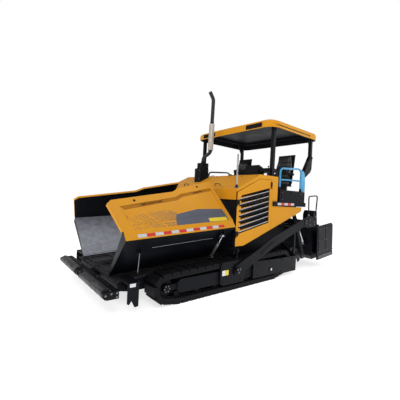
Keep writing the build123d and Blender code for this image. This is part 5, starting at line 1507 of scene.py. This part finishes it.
@dataclass
class Screed:
    """Tow arm plates, screed panels, sole plate, box lids, steps and rail clamps."""

    repeats: Repeats

    def dress(self) -> None:
        """Adds the screed's pieces."""
        for label, side in SIDES.items():
            self._arm(label, side)
            self._extension(label, side)
        self._main()

    @staticmethod
    def _slab(shape: Shape, points: Sequence[Pair], low: float, high: float, side: int = 1) -> None:
        """A plate between two widths, given for the left side, whose outline lies along the screed."""
        near, far = sorted((side * low, side * high))
        shape.prism([SCREED.at(x, near, z) for x, z in points], Vector((0, far - near, 0)))

    def _arm(self, label: str, side: int) -> None:
        """Pin cap, stiffener and bolts of one tow arm, and the clamps of the handrail on it."""
        axis = Vector((0, side, 0))
        arm = Shape(f"tow_arm_{label}_fittings", BLACK)
        arm.turned((0.735, side * 1.344, 0.38), axis, ((0, 0.062), (0.008, 0.062), (0.012, 0.054), (0.014, 0.020)),
                   24)
        self._slab(arm, ((-0.70, 0.560), (-0.70, 0.600), (-1.10, 0.755), (-1.10, 0.715)), 1.3325, 1.341, side)
        self._slab(arm, ((-2.36, 0.985), (-2.36, 1.10), (-2.60, 1.13), (-2.84, 1.03), (-2.84, 0.93), (-2.56, 0.93)),
                   1.3325, 1.341, side)
        arm.done("screed", bevel=0.003)
        places = ((-2.42, 1.02), (-2.42, 1.08), (-2.60, 0.97), (-2.60, 1.09), (-2.79, 0.96), (-2.79, 1.02))
        spots = [(SCREED.at(x, side * 1.3412, z), axis) for x, z in places]
        spots += [(Vector((0.735 + 0.04 * math.cos(a), side * 1.357, 0.38 + 0.04 * math.sin(a))), axis)
                  for a in (0.5, 2.6, 4.7)]
        self.repeats.bolt_field(f"tow_arm_{label}_bolts", spots, 0.014, "screed", BOLT_STEEL, Slot.ZINC)
        clamps = Shape(f"handrail_{label}_clamps", BOLT_STEEL)
        for x, z in ((-2.56, 1.19), (-2.893, 1.13)):
            clamps.turned(SCREED.at(x, side * 1.319, z), SCREED.up(),
                          ((0, 0.022), (0.004, 0.024), (0.036, 0.024), (0.04, 0.022)), 14)
        clamps.done("screed")

    def _main(self) -> None:
        """Front wear plate, top tread, box lids, seams and bolts of the middle screed."""
        plates = Shape("screed_main_plates", SCREED_STEEL)
        self._slab(plates, ((-2.998, 0.004), (-2.984, 0.060), (-2.984, 0.09), (-2.990, 0.09)), -1.17, 1.17)
        plates.use(SATIN_BLACK)
        for low in (-1.10, -0.55, 0.0, 0.55):
            self._slab(plates, ((-3.4325, 0.10), (-3.4325, 0.60), (-3.437, 0.60), (-3.437, 0.10)), low + 0.01,
                       low + 0.54)
        self._slab(plates, ((-3.10, 0.8795), (-3.10, 0.886), (-3.36, 0.886), (-3.36, 0.8795)), -0.84, 0.84)
        for side in (1, -1):
            self._slab(plates, ((-3.165, 1.2585), (-3.172, 1.268), (-3.275, 1.246), (-3.272, 1.236)), 0.875, 1.145,
                       side)
            self._slab(plates, ((-3.0985, 0.92), (-3.0985, 1.12), (-3.092, 1.12), (-3.092, 0.92)), 0.875, 1.145, side)
        plates.done("screed", bevel=0.002)
        ahead = SCREED.ahead()
        spots = [(SCREED.at(-3.4372, y, z), -ahead) for y in (-1.06, -0.60, -0.51, -0.05, 0.04, 0.50, 0.59, 1.05)
                 for z in (0.13, 0.57)]
        self.repeats.bolt_field("screed_main_bolts", spots, 0.011, "screed")
        up = SCREED.up()
        tread = [(SCREED.at(-3.12 - i * 0.03, -0.81 + j * 0.06 + (0.03 if i % 2 else 0), 0.887), 1.0)
                 for i in range(8) for j in range(27)]
        self.repeats.square_field("screed_tread", tread, up, ahead + Vector((0, 1, 0)), 0.016, "screed", SATIN_BLACK,
                                  Slot.BLACK)

    def _extension(self, label: str, side: int) -> None:
        """End plate, steel sole edge, step and bolts of one extension."""
        body = f"screed_extension_{label}"
        axis = Vector((0, side, 0))
        plates = Shape(f"{body}_plates", SCREED_STEEL)
        self._slab(plates, ((-3.03, 0.012), (-3.03, 0.115), (-3.84, 0.115), (-3.84, 0.012)), 1.3325, 1.3465, side)
        plates.use(BLACK)
        self._slab(plates, ((-3.06, 0.18), (-3.06, 0.83), (-3.09, 0.85), (-3.40, 0.85), (-3.40, 0.18)), 1.3325, 1.339,
                   side)
        self._slab(plates, ((-3.43, 0.18), (-3.43, 0.85), (-3.79, 0.85), (-3.82, 0.81), (-3.82, 0.18)), 1.3325, 1.339,
                   side)
        plates.use(SATIN_BLACK)
        self._slab(plates, ((-3.8405, 0.24), (-3.8405, 0.48), (-3.845, 0.48), (-3.845, 0.24)), 0.25, 1.27, side)
        plates.done(body, bevel=0.002)
        step = Shape(f"{body}_step_grip", SATIN_BLACK)
        for number in range(9):
            across = side * (0.30 + number * 0.115)
            step.prism([SCREED.at(x, across, 0.1795) for x in (-3.86, -3.94)]
                       + [SCREED.at(x, across, 0.187) for x in (-3.94, -3.86)], Vector((0, 0.014, 0)))
        step.done(body)
        places = [(x, z) for x in (-3.10, -3.36, -3.47, -3.78) for z in (0.22, 0.50, 0.80)] + [(x, 0.065)
                for x in (-3.08, -3.30, -3.55, -3.80)]
        spots = [(SCREED.at(x, side * (1.3395 if z > 0.1 else 1.347), z), axis) for x, z in places]
        self.repeats.bolt_field(f"{body}_bolts", spots, 0.012, body)


@dataclass
class Trim:
    """Blade edges with painted highlights and latches of the doors, handles and bolts on the hood, and bolts on the
    augers.
    """

    repeats: Repeats
    blades: int = 7
    blade_pitch: float = 0.106
    blade_slope: float = 0.215
    blade_run: float = 0.90
    blade_front: Pair = (0.668, 1.030 + 0.016 * 0.215 + 0.033 + 0.004)
    edge_height: float = 0.013

    def dress(self) -> None:
        """Adds the trim."""
        for label, side in SIDES.items():
            self._door(label, side)
            self._auger(label, side)
        self._hood()

    def _door(self, label: str, side: int) -> None:
        """Painted highlight strips along the edges of the louvre blades, and the latch of one door."""
        axis = Vector((0, side, 0))
        # Painted highlight strips along the edges of the louvre blades.
        edges = Shape(f"hood_door_{label}_blade_edges", HIGHLIGHT_EDGE)
        rise = UP * self.edge_height
        for blade in range(self.blades):
            start = Vector((self.blade_front[0], side * 1.2364, self.blade_front[1] + blade * self.blade_pitch))
            end = start + Vector((-self.blade_run, 0, self.blade_run * self.blade_slope))
            edges.prism([start, start + rise, end + rise, end], axis * 0.0016)
        edges.done(f"hood_door_{label}")
        latch = Shape(f"hood_door_{label}_latch", PLASTIC)
        latch.box((-0.312, 1.2395, 2.005), (-0.288, 1.252, 2.095), side)
        latch.turned((-0.30, side * 1.2395, 1.975), axis, ((0, 0.016), (0.006, 0.016), (0.008, 0.012)), 16)
        latch.done(f"hood_door_{label}", bevel=0.003)

    def _auger(self, label: str, side: int) -> None:
        """Clamp bolts where each blade meets the shaft."""
        spots, ring = [], 0.055
        for number in range(6):
            hub = Vector((-1.85, side * (0.22 + number * 0.15), 0.345))
            ways = [Vector((math.cos(a), 0, math.sin(a))) for a in (0.4, 3.5)]
            spots += [(hub + way * ring, way) for way in ways]
        self.repeats.bolt_field(f"auger_{label}_bolts", spots, 0.012, f"auger_{label}")

    def _hood(self) -> None:
        """Lid hinges, handles, a seam and bolts on the hood's top."""
        lids = Shape("hood_lid_fittings", PLASTIC)
        for y in (-0.615, 0.25):
            for x in (-0.07, -0.45):
                lids.box((x - 0.03, y - 0.012, 2.2425), (x + 0.03, y + 0.012, 2.256))
            lids.pipe(((-0.26, y - 0.07, 2.243), (-0.26, y - 0.07, 2.285), (-0.26, y + 0.07, 2.285),
                       (-0.26, y + 0.07, 2.243)), 0.007, 0.02)
        slope = math.atan2(0.328, 0.672)
        ahead = Vector((math.cos(slope), 0, -math.sin(slope)))
        out = Vector((math.sin(slope), 0, math.cos(slope)))
        middle = Vector((0.63, 0, 2.234 - 0.55 * math.tan(slope)))
        for y in (-0.55, 0.55):
            near, far = (middle + Vector((0, y + half, 0)) for half in (-0.08, 0.08))
            lids.pipe((near, near + out * 0.045, far + out * 0.045, far), 0.008, 0.02)
        lids.prism([middle + ahead * 0.035 + Vector((0, y, 0)) for y in (-1.19, 1.19)]
                   + [middle + ahead * 0.030 + Vector((0, y, 0)) for y in (1.19, -1.19)], out * 0.0012)
        lids.done("chassis", bevel=0.001)
        spots = [(middle + ahead * d + Vector((0, y, 0)), out) for d in (-0.53, 0.10)
                 for y in (-1.17, -0.78, -0.39, 0.0, 0.39, 0.78, 1.17)]
        self.repeats.bolt_field("hood_bolts", spots, 0.010, "chassis", BLACK, Slot.BLACK)


@dataclass
class Studio:
    """Camera, lights and floor."""

    place: Point = (4.53, 4.701, 1.72)
    yaw: float = math.radians(-129.602)
    pitch: float = math.radians(-0.753)
    roll: float = math.radians(2.910)
    lens: float = 24.194
    sensor: float = 36.0
    floor_glow: float = 0.7
    floor_half: float = 60.0
    world_strength: float = 0.46
    target: Point = (0.3, 0.2, 1.2)
    lights: tuple[tuple[str, Point, float, float], ...] = (
        ("key", (5.5, 5.5, 7.0), 5.0, 175.0), ("fill", (8.0, -2.5, 4.0), 5.0, 60.0),
        ("top", (-1.0, 0.5, 8.5), 6.0, 150.0), ("rear", (-7.0, 4.5, 4.5), 4.0, 60.0))

    def build(self) -> None:
        """Sets the camera, the soft lights, the pale world and the floor."""
        self._camera()
        self._lights()
        self._floor()

    def _camera(self) -> None:
        """The camera at the machine's front left, slightly rolled."""
        ahead = Vector((math.cos(self.yaw) * math.cos(self.pitch), math.sin(self.yaw) * math.cos(self.pitch),
                        math.sin(self.pitch)))
        level = Vector((math.sin(self.yaw), -math.cos(self.yaw), 0))
        up = level.cross(ahead)
        right = level * math.cos(self.roll) + up * math.sin(self.roll)
        top = up * math.cos(self.roll) - level * math.sin(self.roll)
        data = bpy.data.cameras.new("camera")
        data.lens, data.sensor_width, data.sensor_fit = self.lens, self.sensor, "HORIZONTAL"
        data.clip_end = 100
        camera = linked("camera", data)
        turn = Matrix((right, top, -ahead)).transposed().to_4x4()
        camera.matrix_world = Matrix.Translation(self.place) @ turn
        bpy.context.scene.camera = camera

    def _lights(self) -> None:
        """Four soft disks of light, and a world that is white to the camera and dimmer as light."""
        for name, place, size, power in self.lights:
            data = bpy.data.lights.new(name, "AREA")
            data.shape, data.size, data.energy = "DISK", size, power
            light = linked(name, data)
            light.location = place
            light.rotation_euler = (Vector(self.target) - Vector(place)).to_track_quat("-Z", "Y").to_euler()
        world = bpy.data.worlds.new("pale studio")
        world.use_nodes = True
        graph = Graph(world.node_tree)
        soft = world.node_tree.nodes["Background"]
        soft.inputs["Color"].default_value = (1.0, 1.0, 1.0, 1)
        soft.inputs["Strength"].default_value = self.world_strength
        plain = graph.add("ShaderNodeBackground", {"Color": (1.0, 1.0, 1.0, 1), "Strength": 1.0})
        seen = graph.add("ShaderNodeLightPath").outputs["Is Camera Ray"]
        both = graph.add("ShaderNodeMixShader", {0: seen, 1: soft.outputs[0], 2: plain.outputs[0]})
        world.node_tree.links.new(both.outputs[0], world.node_tree.nodes["World Output"].inputs["Surface"])
        bpy.context.scene.world = world
        bpy.context.scene.view_settings.view_transform = "Standard"

    def _floor(self) -> None:
        """A plain pale floor."""
        finish = Finish("pale floor", (0.93, 0.93, 0.93), roughness=0.9, mottle=0.005, grain_depth=0.0001,
                        rounding=0.001, dust=0.0)
        mesh = bpy.data.meshes.new("floor")
        corners = [(x * self.floor_half, y * self.floor_half, -0.001)
                   for x, y in ((-1, -1), (1, -1), (1, 1), (-1, 1))]
        mesh.from_pydata(corners, [], [(0, 1, 2, 3)])
        mesh.materials.append(finish.material())
        glow = finish.material().node_tree.nodes["Principled BSDF"]
        glow.inputs["Emission Color"].default_value = (1.0, 1.0, 1.0, 1.0)
        glow.inputs["Emission Strength"].default_value = self.floor_glow
        floor = linked("floor", mesh)


def main() -> None:
    """Builds the finishes, then each sub-assembly in order."""
    logging.basicConfig(level=logging.INFO, format="%(message)s")
    build_shader_groups()
    repeats = Repeats()
    Studio().build()
    for assembly in (Solids(), Hood(repeats), Hopper(repeats), Station(repeats), Exhaust(repeats),
                     Undercarriage(repeats),
                     FrontBeam(repeats), Screed(repeats), Trim(repeats)):
        before = set(bpy.data.objects)
        assembly.dress()
        for piece in sorted(o.name for o in set(bpy.data.objects) - before):
            LOG.info("%s: %s", type(assembly).__name__, piece)


if __name__ == "__main__":
    main()
